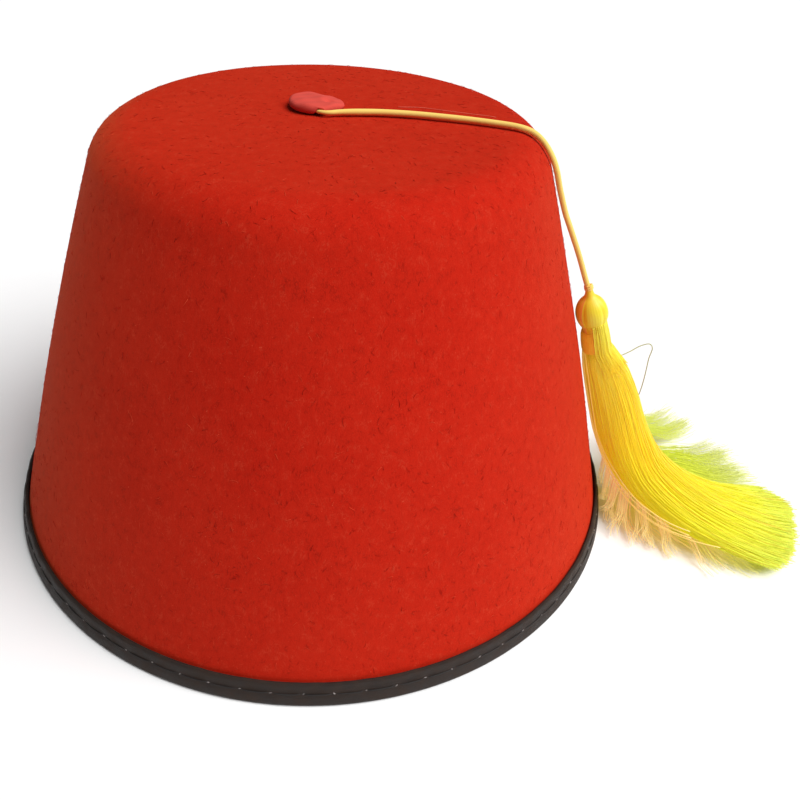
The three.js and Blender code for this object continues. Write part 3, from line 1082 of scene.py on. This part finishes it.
@dataclass
class Binding:
    """The dark tape folded over the felt's lower edge, with its line of stitches."""

    form: HatForm = FORM
    stitches: int = 74
    steps_each: int = 6
    line_height: float = 4.0 * MM
    pull: float = 0.3 * MM
    groove: float = 0.1 * MM
    puff: float = 0.14 * MM
    thread: float = 0.26 * MM
    knot: float = 0.36 * MM

    def profile(self) -> list[tuple[float, float]]:
        """Give the tape's section as radius and height, round the fold and back."""
        form = self.form
        across = 1 / math.cos(form.slope)
        outer = (form.clearance + form.tape) * across
        back = form.clearance * across
        inner_back = -(form.felt + form.clearance) * across
        inner = -(form.felt + form.clearance + form.tape) * across
        soft = 0.3 * form.tape
        tape = form.tape
        high = form.binding_height
        rows = [(0.0, outer - tape), (0.35 * soft, outer - 0.55 * tape)]
        rows += [(soft, outer - soft), (0.62 * tape, outer - 0.3 * soft)]
        rows += [(tape + (high - soft - tape) * step / 9, outer) for step in range(10)]
        rows += [(high, outer - soft), (high, back + soft), (high - soft, back)]
        rows += [(tape + (high - 2 * soft - tape) * (1 - step / 4), back) for step in range(1, 5)]
        rows += [(tape + (high - 2 * soft - tape) * step / 4, inner_back) for step in range(4)]
        rows += [(high - soft, inner_back), (high, inner_back - soft), (high, inner + soft)]
        rows += [(high - soft - (high - soft - tape) * step / 9, inner) for step in range(10)]
        rows += [(0.62 * tape, inner + 0.3 * soft), (soft, inner + soft)]
        rows += [(0.35 * soft, inner + 0.55 * tape), (0.0, inner + tape)]
        return [(float(form.side_radius(height)) + offset, height) for height, offset in rows]

    def build(self) -> Piece:
        """Model the folded tape and pull it in along the stitches."""
        rings = self.profile()
        piece = ring_stack("binding_tape", [*rings, rings[0]], self.stitches * self.steps_each)
        move_points(piece, self.sewn(points_of(piece)))
        return piece

    def sewn(self, points: np.ndarray) -> np.ndarray:
        """Swell the tape between its edges, and sink it along the stitch line and at each needle hole."""
        radius, angle = polar(points)
        offset = radius - self.form.side_radius(points[:, 2])
        outside = offset > self.form.clearance * 1.2
        inside = offset < -(self.form.felt + self.form.clearance * 1.4)
        share = points[:, 2] / self.form.binding_height
        hill = self.puff * np.sin(math.pi * np.clip(share, 0, 1)) ** 0.7
        beside = bell(points[:, 2] - self.line_height, 0.9 * MM)
        hole = np.abs((angle * self.stitches / (2 * math.pi) + 0.5) % 1 - 0.5) * 2
        sink = beside * (self.groove + (self.pull - self.groove) * bell(hole, 0.3))
        ripple = 0.07 * MM * np.sin(41 * angle + 1.0) * share + 0.05 * MM * np.sin(97 * angle) * share
        reach = np.where(outside, hill - sink + ripple, np.where(inside, -hill + sink, 0))
        return swell(points, reach)

    def surface(self, angle: np.ndarray, depth: float, outside: bool) -> np.ndarray:
        """Give points on the tape's face at the stitch line."""
        across = 1 / math.cos(self.form.slope)
        proud = self.puff - self.groove + depth
        offset = (self.form.clearance + self.form.tape) * across + proud
        if not outside:
            offset = -offset - self.form.felt * across
        radius = float(self.form.side_radius(self.line_height)) + offset
        height = np.full_like(angle, self.line_height)
        return np.stack([radius * np.cos(angle), radius * np.sin(angle), height], axis=-1)

    def stitch_line(self) -> Piece:
        """Sew one thread from hole to hole on the outside and the inside."""
        step = 2 * math.pi / self.stitches
        shares = np.linspace(-0.5, 0.5, 9)
        ends = (np.abs(shares * 2) ** 6)[:, None]
        depth = self.thread * 0.35
        dip = self.pull * 1.5
        rows = []
        for outside in (True, False):
            for index in range(self.stitches):
                angle = index * step + step / 2 + shares * step * 0.93
                line = self.surface(angle, depth, outside)
                sunk = self.surface(angle, depth - dip, outside)
                rows.append(line * (1 - ends) + sunk * ends)
        radius = self.thread / 2 * (1 - 0.25 * np.abs(shares * 2)[None] ** 3)
        return tube_mesh("binding_stitches", np.array(rows), radius, 8)

    def knots(self) -> Piece:
        """Set the pale loop of the under thread that shows at each needle hole."""
        step = 2 * math.pi / self.stitches
        rng = np.random.default_rng(3)
        rows = []
        for index in range(self.stitches):
            middle = index * step + rng.normal(0, 0.03) * step
            wide = np.linspace(-0.035, 0.035, 5) * step * rng.uniform(0.6, 1.3)
            line = self.surface(middle + wide, rng.uniform(-0.16, -0.06) * MM, True)
            line[:, 2] += rng.normal(0, 0.1 * MM) + rng.normal(0, 0.16 * MM) * np.linspace(-1, 1, 5)
            rows.append(line)
        size = rng.uniform(0.5, 1.1, (self.stitches, 1))
        radius = self.knot / 2 * np.array([[0.55, 0.9, 1.0, 0.9, 0.55]]) * size
        return tube_mesh("binding_knots", np.array(rows), radius, 8, rng.uniform(0, 1, self.stitches))


@dataclass
class CoveredButton:
    """The small flat felt-covered button, which swells over the cord's start.

    The columns of crumples are rise, x, y and width, in millimetres.
    """

    form: HatForm = FORM
    radius: float = 7.2 * MM
    thickness: float = 1.9 * MM
    x: float = -2.6 * MM
    y: float = 3.9 * MM
    cover: float = 0.35 * MM
    cord_gap: float = 0.12 * MM
    swell: float = 0.35 * MM
    swell_full: float = 2.25 * MM
    slump: float = 0.7 * MM
    swell_radius: float = 6 * MM
    cord: SatinCord = field(default_factory=SatinCord)
    steps: int = 96
    hidden_cord: float = 13 * MM
    crumples: Rows = (
        (-0.8, 0.6, 2.6, 1.1),
        (0.42, 2.3, 4.2, 1.3),
        (0.25, -0.5, 5.5, 1.6),
    )

    def build(self) -> Piece:
        """Model the disc, lift it over the cord and crumple its cover."""
        half = self.thickness / 2
        flats = np.linspace(0.04, 1, 16)[:-1] * (self.radius - half)
        rings = [(float(radius), 0.0) for radius in flats]
        for turn in np.radians(np.linspace(-90, 90, 11)):
            rings.append((self.radius - half + half * math.cos(turn), half + half * math.sin(turn)))
        rings += [(float(radius), self.thickness) for radius in flats[::-1]]
        piece = ring_stack("button_cover", [*rings, (0, self.thickness)], self.steps)
        close_foot(piece)
        move_points(piece, self.shaped(points_of(piece)))
        return piece

    def shaped(self, points: np.ndarray) -> np.ndarray:
        """Place the disc on the top with a channel for the cord below and a crumpled cover above."""
        share = points[:, 2] / self.thickness
        _, angle = polar(points)
        ragged = 1 + 0.018 * np.sin(3 * angle + 0.6) + 0.012 * np.sin(5 * angle + 2.1)
        x = points[:, 0] * ragged + self.x
        y = points[:, 1] * ragged + self.y
        path = self.cord.path()
        run = run_along(path)
        hidden = run < self.hidden_cord
        path = path[hidden]
        apart = np.hypot(x[:, None] - path[:, 0], y[:, None] - path[:, 1])
        foot = float(self.form.top_height(self.x, self.y)) + self.form.clearance
        channel = self.cord.radius_at(run[hidden]) + self.cord_gap
        arch = np.sqrt(np.maximum(0, channel**2 - apart**2))
        under = np.max(np.where(apart < channel, path[:, 2] - foot + arch, 0), axis=1)
        lift = np.clip((self.swell_radius - apart.min(axis=1)) / (self.swell_radius - self.swell_full), 0, 1)
        cover = self.cover * smooth_step(0, 1 * MM, under)
        away = ((x - self.x) * 0.8 + (y - self.y) * 0.6) / self.radius
        slump = self.slump * smooth_step(0.1, 1.0, away)
        over = np.maximum(self.thickness + self.swell * lift - slump, under + cover)
        height = under + share * (over - under)
        crumple = 0.10 * MM * np.sin(900 * x + 500 * y) + 0.08 * MM * np.sin(1500 * y - 700 * x + 1.0)
        for rise, middle_x, middle_y, width in np.array(self.crumples) * MM:
            crumple += rise * bell(np.hypot(x - middle_x, y - middle_y), width)
        height += share**2 * crumple
        return np.stack([x, y, foot + height], axis=1)


@dataclass
class TasselHead:
    """The round head of laid threads, the wound neck and the small knot where the cord comes in.

    The columns of over_profile are height above the neck's foot and radius, in millimetres. Those of
    neck_rows are radius and height in shares of the neck's, and those of knot_rows are radius and depth
    below the head's top in radii of the cord.
    """

    form: HatForm = FORM
    head_radius: float = 4.6 * MM
    half_height: float = 5.6 * MM
    head_length: float = 13.5 * MM
    neck_radius: float = 4.2 * MM
    neck_length: float = 7 * MM
    foot_height: float = 56 * MM
    threads: int = 52
    thread_depth: float = 0.035 * MM
    front: float = -95.0
    rim_angle: float = 62.0
    steps: int = 208
    wraps: int = 17
    over_neck: int = 170
    over_turns: tuple[float, float] = (-106.0, 60.0)
    over_profile: Rows = (
        (9.6, 3.75), (8.4, 3.85), (7.2, 3.95), (6, 4.15), (4, 4.3), (1.4, 4.4), (0, 4.5), (-1.4, 4.8),
        (-3.4, 5.25), (-6, 5.9), (-9, 6.55),
    )
    neck_rows: Rows = ((0.5, -0.06), (0.88, 0), (0.93, 0.2), (0.91, 0.55), (0.86, 0.85), (0.78, 1))
    knot_rows: Rows = ((1.95, 2.9), (1.5, 2), (1.25, 0.8), (0.9, 0.15))
    skirt_shift: tuple[float, float] = (2.8 * MM, 1.3 * MM)
    cord: SatinCord = field(default_factory=SatinCord)

    def beside_crown(self, height: float) -> np.ndarray:
        """Give a point at the head's radius from the crown's side."""
        gap = (self.head_radius + self.form.clearance) / math.cos(self.form.slope)
        radius = float(self.form.side_radius(height)) + gap
        return self.form.lean((OUTWARD * radius + UP * height)[None])[0]

    def frame(self) -> Matrix:
        """Give the place and turn of the head, from its neck's foot up along the crown's side."""
        foot = self.beside_crown(self.foot_height)
        axis = unit(self.beside_crown(self.foot_height + self.head_length) - foot)
        turn = Vector((0, 0, 1)).rotation_difference(Vector(axis))
        return Matrix.Translation(foot) @ turn.to_matrix().to_4x4()

    def neck_profile(self) -> list[tuple[float, float]]:
        """Give the neck's radius and height below its winding."""
        return [(wide * self.neck_radius, high * self.neck_length) for wide, high in self.neck_rows]

    def build(self) -> Piece:
        """Model the neck and the head, and lay the head's threads in ridges."""
        middle = self.neck_length + self.half_height
        top = self.neck_length + self.head_length
        rings = self.neck_profile()
        for turn in np.radians(np.linspace(-44, 60, 21)):
            rings.append((self.head_radius * math.cos(turn), middle + self.half_height * math.sin(turn)))
        cord_radius = self.cord.diameter / 2
        rings += [(wide * cord_radius, top - below * cord_radius) for wide, below in self.knot_rows]
        piece = ring_stack("tassel_head", [*rings, (0, top)], self.steps)
        close_foot(piece)
        points = points_of(piece)
        move_points(piece, self.laid(points))
        self.mark(piece, points)
        piece.data.transform(self.frame())
        return piece

    def laid(self, points: np.ndarray) -> np.ndarray:
        """Raise the head's surface in threads that run from the knot to the neck."""
        radius, angle = polar(points)
        share = smooth_step(0.0, 0.35 * self.head_radius, points[:, 2] - self.neck_length)
        width = np.clip(radius / self.head_radius, 0, 1)
        swirl = angle + 0.16 * np.sin(2 * angle) + 0.012 * np.sin(points[:, 2] / (1.1 * MM))
        ridge = self.thread_depth * (np.abs(np.cos(self.threads / 2 * swirl)) - 0.6) * width
        past_rim = np.abs(self.from_front(angle)) - self.rim_angle
        rim = 0.2 * MM * (bell(past_rim, 15) - bell(past_rim + 24, 6))
        return swell(points, share * (ridge + rim * width**2))

    def from_front(self, angle: np.ndarray) -> np.ndarray:
        """Give the turn from the head's front, in degrees between -180 and 180."""
        apart = angle - math.radians(self.front)
        return np.degrees((apart + math.pi) % (2 * math.pi) - math.pi)

    def mark(self, piece: Piece, points: np.ndarray) -> None:
        """Note each point's place along the head and its thread's tone for the finish. The tone also carries
        a painted highlight: a paler orange band down the head's left side near its outline.
        """
        _, angle = polar(points)
        beside = -self.from_front(angle)
        # Painted highlight: a band on the left side, measured from the front, is mixed towards the paler
        # orange shade colour.
        highlight_band = smooth_step(40, 48, beside) * (1 - 0.5 * smooth_step(60, 75, beside))
        tone = 0.25 + 0.25 * np.sin(17 * angle) * np.sin(5 * angle + 1) + 0.65 * highlight_band
        note(piece.data, "along", np.clip(points[:, 2] / (self.neck_length + self.head_length), 0, 1))
        note(piece.data, "tone", tone)

    def wind(
        self,
        name: str,
        turns: np.ndarray,
        radius: np.ndarray,
        height: np.ndarray,
        thread: float,
        tone: float,
    ) -> Piece:
        """Wind one thread round the head's axis.

        Args:
            name: the piece's name.
            turns: the angle at each point of the thread's middle.
            radius: its distance from the axis.
            height: its height above the neck's foot.
            thread: the thread's radius.
            tone: the thread's tone for its finish.

        Returns:
            The piece.
        """
        path = np.stack([radius * np.cos(turns), radius * np.sin(turns), height], axis=1)
        piece = tube_mesh(name, path[None], np.array([[thread]]), 8, np.array([tone]))
        piece.data.transform(self.frame())
        return piece

    def neck_wrap(self) -> Piece:
        """Wind one thread round the neck."""
        turns = np.linspace(0, self.wraps * 2 * math.pi, self.wraps * 30)
        share = turns / turns[-1]
        height = self.neck_length * (0.03 + 0.95 * share)
        profile = np.array(self.neck_profile())
        radius = np.interp(height, profile[:, 1], profile[:, 0])
        return self.wind("neck_wrap", turns, radius, height, self.neck_length / self.wraps * 0.6, 0.2)

    def neck_threads(self) -> Piece:
        """Lay the threads that come down from the head over the wound neck's outer side."""
        rng = np.random.default_rng(7)
        count = self.over_neck
        profile = np.array(self.over_profile) * MM
        turn = np.radians(rng.uniform(*self.over_turns, (count, 1)))
        share = np.broadcast_to(np.linspace(0, 1, 16), (count, 16))
        foot = profile[-1, 0] * rng.uniform(0.1, 1.0, (count, 1))
        height = profile[0, 0] + (foot - profile[0, 0]) * share
        layer = rng.uniform(-0.12, 0.2, (count, 1)) * MM
        radius = np.interp(height, profile[::-1, 0], profile[::-1, 1]) + layer
        turn = turn + 0.03 * wander(rng, count, share, 0.8)
        shift = np.maximum(0, -height) / (9 * MM)
        x = radius * np.cos(turn) + shift * self.skirt_shift[0]
        y = radius * np.sin(turn) + shift * self.skirt_shift[1]
        paths = np.stack([x, y, height], axis=-1)
        thick = 0.15 * MM * (1 - 0.5 * share)
        piece = tube_mesh("neck_threads", paths, thick, 4, rng.uniform(0, 1, count))
        piece.data.transform(self.frame())
        return piece

    def knot(self) -> Piece:
        """Wind the small knot where the cord enters the head."""
        wraps = 3
        turns = np.linspace(0, wraps * 2 * math.pi, wraps * 28)
        share = turns / turns[-1]
        thread = 0.3 * MM
        top = self.neck_length + self.head_length
        radius = self.cord.diameter / 2 + 0.7 * thread * np.sin(math.pi * share) ** 0.4
        height = top - 0.5 * MM + 1.6 * MM * share
        return self.wind("cord_knot", turns, radius, height, thread, 0.5)


class Side(Enum):
    """Where a bunch of stray threads parts from the skirt."""

    BEHIND = "behind"
    IN_FRONT = "in_front"
    BELOW = "below"


@dataclass(frozen=True)
class Strand:
    """How the threads of a stray bunch hold together."""

    thread: float
    apart: float
    astray: float
    uneven: float
    drift: float


STRANDS = {
    Side.BEHIND: Strand(thread=0.085 * MM, apart=0.2, astray=0.8 * MM, uneven=0.1, drift=0.9 * MM),
    Side.IN_FRONT: Strand(thread=0.11 * MM, apart=0.045, astray=2.4 * MM, uneven=0.2, drift=0.35 * MM),
    Side.BELOW: Strand(thread=0.085 * MM, apart=0.2, astray=1.2 * MM, uneven=0.14, drift=0.7 * MM),
}


@dataclass
class Skirt:
    """The tassel's threads: a sweep that bends out on the surface, and bunches that part from it.

    The columns of run are height as a share of the head's, distance out from the hat and aside as shares of
    the skirt's length, and half width and half thickness in radii of the head. Those of strays are the side,
    the count of threads, where the bunch leaves the sweep, its tip's distance out and aside, and its half
    width and half thickness.
    """

    head: TasselHead
    length: float = 100 * MM
    thread: float = 0.14 * MM
    sweep_pieces: int = 3
    sweep_threads: int = 1600
    rings: int = 20
    locks: int = 70
    seed: int = 11
    run: Rows = (
        (1.03, 0.053, 0, 0.84, 0.84), (0.94, 0.064, 0.008, 1.12, 1.2), (0.82, 0.078, 0.018, 1.42, 1.48),
        (0.68, 0.09, 0.02, 1.65, 1.66), (0.54, 0.1, 0.01, 1.85, 1.74), (0.41, 0.12, -0.012, 2.02, 1.76),
        (0.3, 0.157, -0.043, 2.2, 1.7), (0.225, 0.215, -0.075, 2.4, 1.6), (0.17, 0.29, -0.1, 2.7, 1.42),
        (0.128, 0.375, -0.115, 3.1, 1.2), (0.098, 0.46, -0.118, 3.55, 0.95),
        (0.072, 0.535, -0.114, 3.85, 0.75), (0.055, 0.6, -0.104, 4, 0.55),
    )
    strays: Sequence[tuple[Side, int, float, float, float, float, float]] = (
        (Side.BEHIND, 150, 0.33, 0.375, 0.48, 0.85, 0.3),
        (Side.BEHIND, 90, 0.35, 0.28, 0.46, 0.8, 0.3),
        (Side.BEHIND, 110, 0.42, 0.51, 0.31, 0.6, 0.34),
        (Side.BEHIND, 140, 0.44, 0.55, 0.22, 0.95, 0.36),
        (Side.BEHIND, 120, 0.46, 0.58, 0.13, 0.95, 0.36),
        (Side.IN_FRONT, 50, 0.33, 0.035, 0.03, 0.5, 0.5),
        (Side.IN_FRONT, 44, 0.37, 0.03, -0.06, 0.5, 0.4),
        (Side.IN_FRONT, 36, 0.42, 0.02, -0.16, 0.55, 0.32),
        (Side.IN_FRONT, 36, 0.45, 0.065, -0.22, 0.55, 0.34),
        (Side.IN_FRONT, 36, 0.49, 0.16, -0.25, 0.6, 0.36),
        (Side.IN_FRONT, 36, 0.54, 0.25, -0.26, 0.6, 0.36),
        (Side.IN_FRONT, 30, 0.6, 0.38, -0.3, 0.6, 0.38),
        (Side.BELOW, 60, 0.6, 0.42, -0.29, 0.7, 0.25),
        (Side.BELOW, 70, 0.66, 0.5, -0.27, 0.8, 0.25),
    )
    stray_root: float = 0.12
    stray_locks: int = 12
    edge_turns: Sequence[float] = (4, 10, 17, 28)
    lock_fill: float = 0.92
    lock_size: float = 2.1
    end_pace: float = 78 * MM
    end_reach: float = 1.03
    end_slant: float = 0.085
    far_rounding: float = 0.07
    near_rounding: float = 0.27
    near_start: float = 0.55

    def __post_init__(self) -> None:
        """Lay the sweep's middle line."""
        rows = np.array(self.run)
        height = rows[:, 0] * self.head.foot_height
        radius = FORM.side_radius(height) + rows[:, 1] * self.length
        points = OUTWARD * radius[:, None] + SIDEWAYS * (rows[:, 2] * self.length)[:, None]
        self.middle = SmoothPath(points + UP * height[:, None])
        self.sizes = rows[:, 3:] * self.head.head_radius

    def laid(self, path: SmoothPath, share: np.ndarray, across: np.ndarray, lift: np.ndarray) -> np.ndarray:
        """Lay threads beside a curve, clear of the hat and of the surface that it stands on.

        Args:
            path: the curve.
            share: places on the curve. One beyond 1 lies straight ahead of the curve's end.
            across: distance from the curve along the surface.
            lift: distance from the curve away from the surface.

        Returns:
            Threads by rings by x, y, z.
        """
        along = path.tangent(np.minimum(share, 1))
        beyond = along * np.maximum(0, share - 1)[..., None] * self.end_pace
        falling = np.maximum(0, -along[..., 2:])
        flat = np.sqrt(np.maximum(0, 1 - along[..., 2:] ** 2))
        face = OUTWARD * falling + UP * (flat + 1e-3)
        face = unit(face - np.sum(face * along, axis=-1, keepdims=True) * along)
        level = unit(np.cross(along, face))
        threads = path.at(share) + beyond + level * across[..., None] + face * lift[..., None]
        return clear_of_hat(threads, FLOOR_GAP + self.thread)

    def size(self, share: np.ndarray, column: int) -> np.ndarray:
        """Give the sweep's half width (0) or half thickness (1) at a share of it."""
        place = np.clip(share, 0, 1) * (len(self.sizes) - 1)
        return np.interp(place, np.arange(len(self.sizes)), self.sizes[:, column])

    def sweep(self, index: int) -> Piece:
        """Make one layer of the sweep's threads.

        Args:
            index: the layer, from 0.

        Returns:
            The piece.
        """
        rng = np.random.default_rng(self.seed + index)
        count = self.sweep_threads
        lock = rng.integers(0, self.locks, count)
        golden = math.pi * (3 - math.sqrt(5))
        lock_out = ((lock + 0.5) / self.locks) ** 0.4 * self.lock_fill
        lock_at = np.stack([lock_out * np.cos(golden * lock), lock_out * np.sin(golden * lock)], axis=1)
        spread = np.sqrt(rng.uniform(0, 1, count))
        turn = rng.uniform(0, 2 * math.pi, count)
        own = np.stack([spread * np.cos(turn), spread * np.sin(turn)], axis=1)
        own = own * self.lock_size / math.sqrt(self.locks)
        share = np.broadcast_to(np.linspace(0, 1, self.rings), (count, self.rings))
        gather = (1 - 0.2 * smooth_step(0.3, 1.0, share))[..., None]
        at = lock_at[:, None] + own[:, None] * gather
        at /= np.maximum(1, np.linalg.norm(at, axis=-1, keepdims=True))
        tip = np.clip(lock_at[:, 0] + 0.5 * own[:, 0], -1, 1)
        reach = self.end_reach - self.end_slant * tip - self.far_rounding * np.maximum(0, tip) ** 2
        reach -= self.near_rounding * np.maximum(0, -tip - self.near_start)
        reach += rng.normal(0, 0.012, count) + 0.008 * np.sin(5.1 * lock)
        place = share * reach[:, None]
        sway = (0.1 + 0.5 * share**1.5) * MM
        across = at[..., 0] * self.size(place, 0) + sway * wander(rng, count, share, 1.2)
        lift = at[..., 1] * self.size(place, 1) + 0.8 * sway * wander(rng, count, share, 1.4)
        splay = smooth_step(0.8, 1.0, share) * rng.normal(0, 0.6 * MM, (count, 1))
        paths = self.laid(self.middle, place, across + splay, lift)
        radius = self.thread * (1 - 0.25 * share)
        return tube_mesh(f"skirt_threads_{index + 1}", paths, radius, 3, rng.uniform(0, 1, count))

    def bunch_path(self, leave: float, off: float, side: float, thick: float) -> SmoothPath:
        """Lay the middle line of a bunch that parts from the sweep and lies on the surface."""
        root = self.middle.at(leave - self.stray_root)
        start = self.middle.at(leave)
        tip = OUTWARD * (FORM.base_radius + off * self.length) + SIDEWAYS * side * self.length
        tip = tip + UP * (FLOOR_GAP + thick * self.head.head_radius)
        fall = start + (tip - start) * 0.45
        fall[2] = start[2] * 0.45
        lie = start + (tip - start) * 0.75
        lie[2] = max(tip[2], start[2] * 0.14)
        return SmoothPath([root, start, fall, lie, tip])

    def bunches(self, side: Side, name: str) -> Piece:
        """Make the threads of the bunches on one side.

        Args:
            side: where the bunches part from the sweep.
            name: the piece's name.

        Returns:
            The piece.
        """
        strand = STRANDS[side]
        rng = np.random.default_rng(self.seed + 20 + len(name))
        layers = []
        tones = []
        for where, count, leave, off, aside, wide, thick in self.strays:
            if where is not side:
                continue
            path = self.bunch_path(leave, off, aside, thick)
            lock = rng.integers(0, self.stray_locks, count)
            lock_at = rng.uniform(-1, 1, self.stray_locks)[lock]
            lock_tone = 0.6 * rng.uniform(0, 1, self.stray_locks)[lock]
            tones.append(lock_tone + rng.uniform(0, 0.4, count))
            own = rng.normal(0, strand.apart, count)
            lift_at = rng.uniform(-0.8, 0.9, count)
            reach = 0.95 + strand.uneven * rng.uniform(-1, 0.5, self.stray_locks)[lock]
            reach += rng.normal(0, 0.03, count)
            share = np.broadcast_to(np.linspace(0, 1, self.rings), (count, self.rings))
            place = np.clip(share * reach[:, None], 0, 1)
            fan = 0.5 + 1.1 * smooth_step(0.2, 1.0, share)
            half_wide = wide * self.head.head_radius * fan
            half_thick = thick * self.head.head_radius * (1.5 - 0.6 * share)
            astray = rng.normal(0, strand.astray, self.stray_locks)[lock]
            astray += rng.normal(0, 0.3 * strand.astray, count)
            drift = strand.drift * share * wander(rng, count, share, 1.1) + astray[:, None] * share**2
            across = (lock_at + own)[:, None] * half_wide + drift
            lift = lift_at[:, None] * half_thick + 0.3 * MM * wander(rng, count, share, 1.0)
            layers.append(self.laid(path, place, across, lift))
        radius = strand.thread * (1 - 0.35 * np.linspace(0, 1, self.rings))[None]
        return tube_mesh(name, np.concatenate(layers), radius, 3, np.concatenate(tones))

    def edge_threads(self) -> Piece:
        """Lay the long threads that have come away along the skirt's near edge."""
        rng = np.random.default_rng(self.seed + 40)
        count = len(self.edge_turns)
        share = np.broadcast_to(np.linspace(0, 1, 80), (count, 80))
        place = share * rng.uniform(0.66, 0.76, (count, 1))
        turn = np.array(self.edge_turns)[:, None] - 84 + 70 * smooth_step(0.3, 0.85, place)
        turn = np.radians(turn + 20 * smooth_step(0.64, 0.8, place) + 3 * wander(rng, count, share, 1.5))
        bow = rng.uniform(0.1, 0.34, (count, 1)) * bell(place - 0.6, 0.12)
        out = 1.0 + rng.uniform(0.02, 0.06, (count, 1)) + bow
        across = np.cos(turn) * out * self.size(place, 0)
        lift = np.sin(turn) * out * self.size(place, 1)
        paths = self.laid(self.middle, place, across, lift)
        return tube_mesh("loose_threads", paths, np.array([[0.17 * MM]]), 6, rng.uniform(0, 0.5, count))


@dataclass
class LooseThreads:
    """Single threads that stand off: one beside the skirt and one on the top beside the cord."""

    form: HatForm = FORM
    beside_skirt: Rows = (
        (89.5, -9.5, 49.8), (94.2, -8.4, 51.6), (97.4, -8, 53.6), (100.1, -8, 54.3), (101.3, -8, 52.9),
        (101.2, -8, 49.1), (101.6, -8, 42.7), (101.6, -8.2, 37.6), (100.8, -9, 32.5),
    )
    beside_cord: Rows = (
        (18.9, 6.4), (24.9, 6.9), (31.4, 5.4), (37.9, 3.9), (41.8, 3.2), (44.7, 2.4),
    )

    def stray(self) -> Piece:
        """Make the thread beside the skirt."""
        paths = SmoothPath(np.array(self.beside_skirt) * MM).even(0.6 * MM)[None]
        return tube_mesh("stray_thread", paths, np.array([[0.15 * MM]]), 6, np.array([0.6]))

    def top_fibre(self) -> Piece:
        """Make the fibre on the top."""
        places = np.array(self.beside_cord) * MM
        height = self.form.top_height(places[:, 0], places[:, 1]) + 0.15 * MM
        paths = SmoothPath(np.column_stack([places, height])).even(0.6 * MM)[None]
        return tube_mesh("top_fibre", paths, np.array([[0.06 * MM]]), 6, np.array([0.6]))


def main() -> None:
    """Build the hat piece by piece."""
    logging.basicConfig(level=logging.INFO, format="%(name)s: %(message)s")
    Studio().build()

    cord = SatinCord()
    head = TasselHead(cord=cord)
    satin = dress(cord.build(), CORD_SATIN, "cord_satin", "tassel_cord")
    head_piece = dress(head.build(), HEAD_SILK, "tassel_threads", "tassel")
    wrap = dress(head.neck_wrap(), WRAP_SILK, "tassel_threads", "tassel")
    over = dress(head.neck_threads(), NECK_SILK, "tassel_threads", "tassel")
    knot = dress(head.knot(), CORD_SATIN, "cord_satin")

    dress(Crown().build(), RED_FELT, "crown_felt", "crown")
    dress(Nap().build(), WOOL_NAP, "crown_felt")

    binding = Binding()
    dress(binding.build(), TapeFinish(), "binding_tape", "rim_binding")
    dress(binding.stitch_line(), DARK_STITCH, "binding_tape")
    dress(binding.knots(), PALE_KNOT, "binding_tape")

    dress(CoveredButton(cord=cord).build(), BUTTON_FELT, "button_felt", "top_button")

    skirt = Skirt(head=head)
    for index in range(skirt.sweep_pieces):
        dress(skirt.sweep(index), GOLD_SILK, "tassel_threads", "tassel")
    dress(skirt.bunches(Side.BEHIND, "lime_wisps"), LIME_SILK, "tassel_threads", "tassel")
    dress(skirt.bunches(Side.IN_FRONT, "peach_wisps"), PEACH_SILK, "tassel_threads", "tassel")
    dress(skirt.bunches(Side.BELOW, "low_fringe"), FRINGE_SILK, "tassel_threads", "tassel")
    dress(skirt.edge_threads(), LOOSE_SILK, "tassel_threads")
    loose = LooseThreads()
    dress(loose.stray(), GREY_THREAD, "tassel_threads")
    dress(loose.top_fibre(), PINK_FIBRE, "crown_felt")


if __name__ == "__main__":
    main()
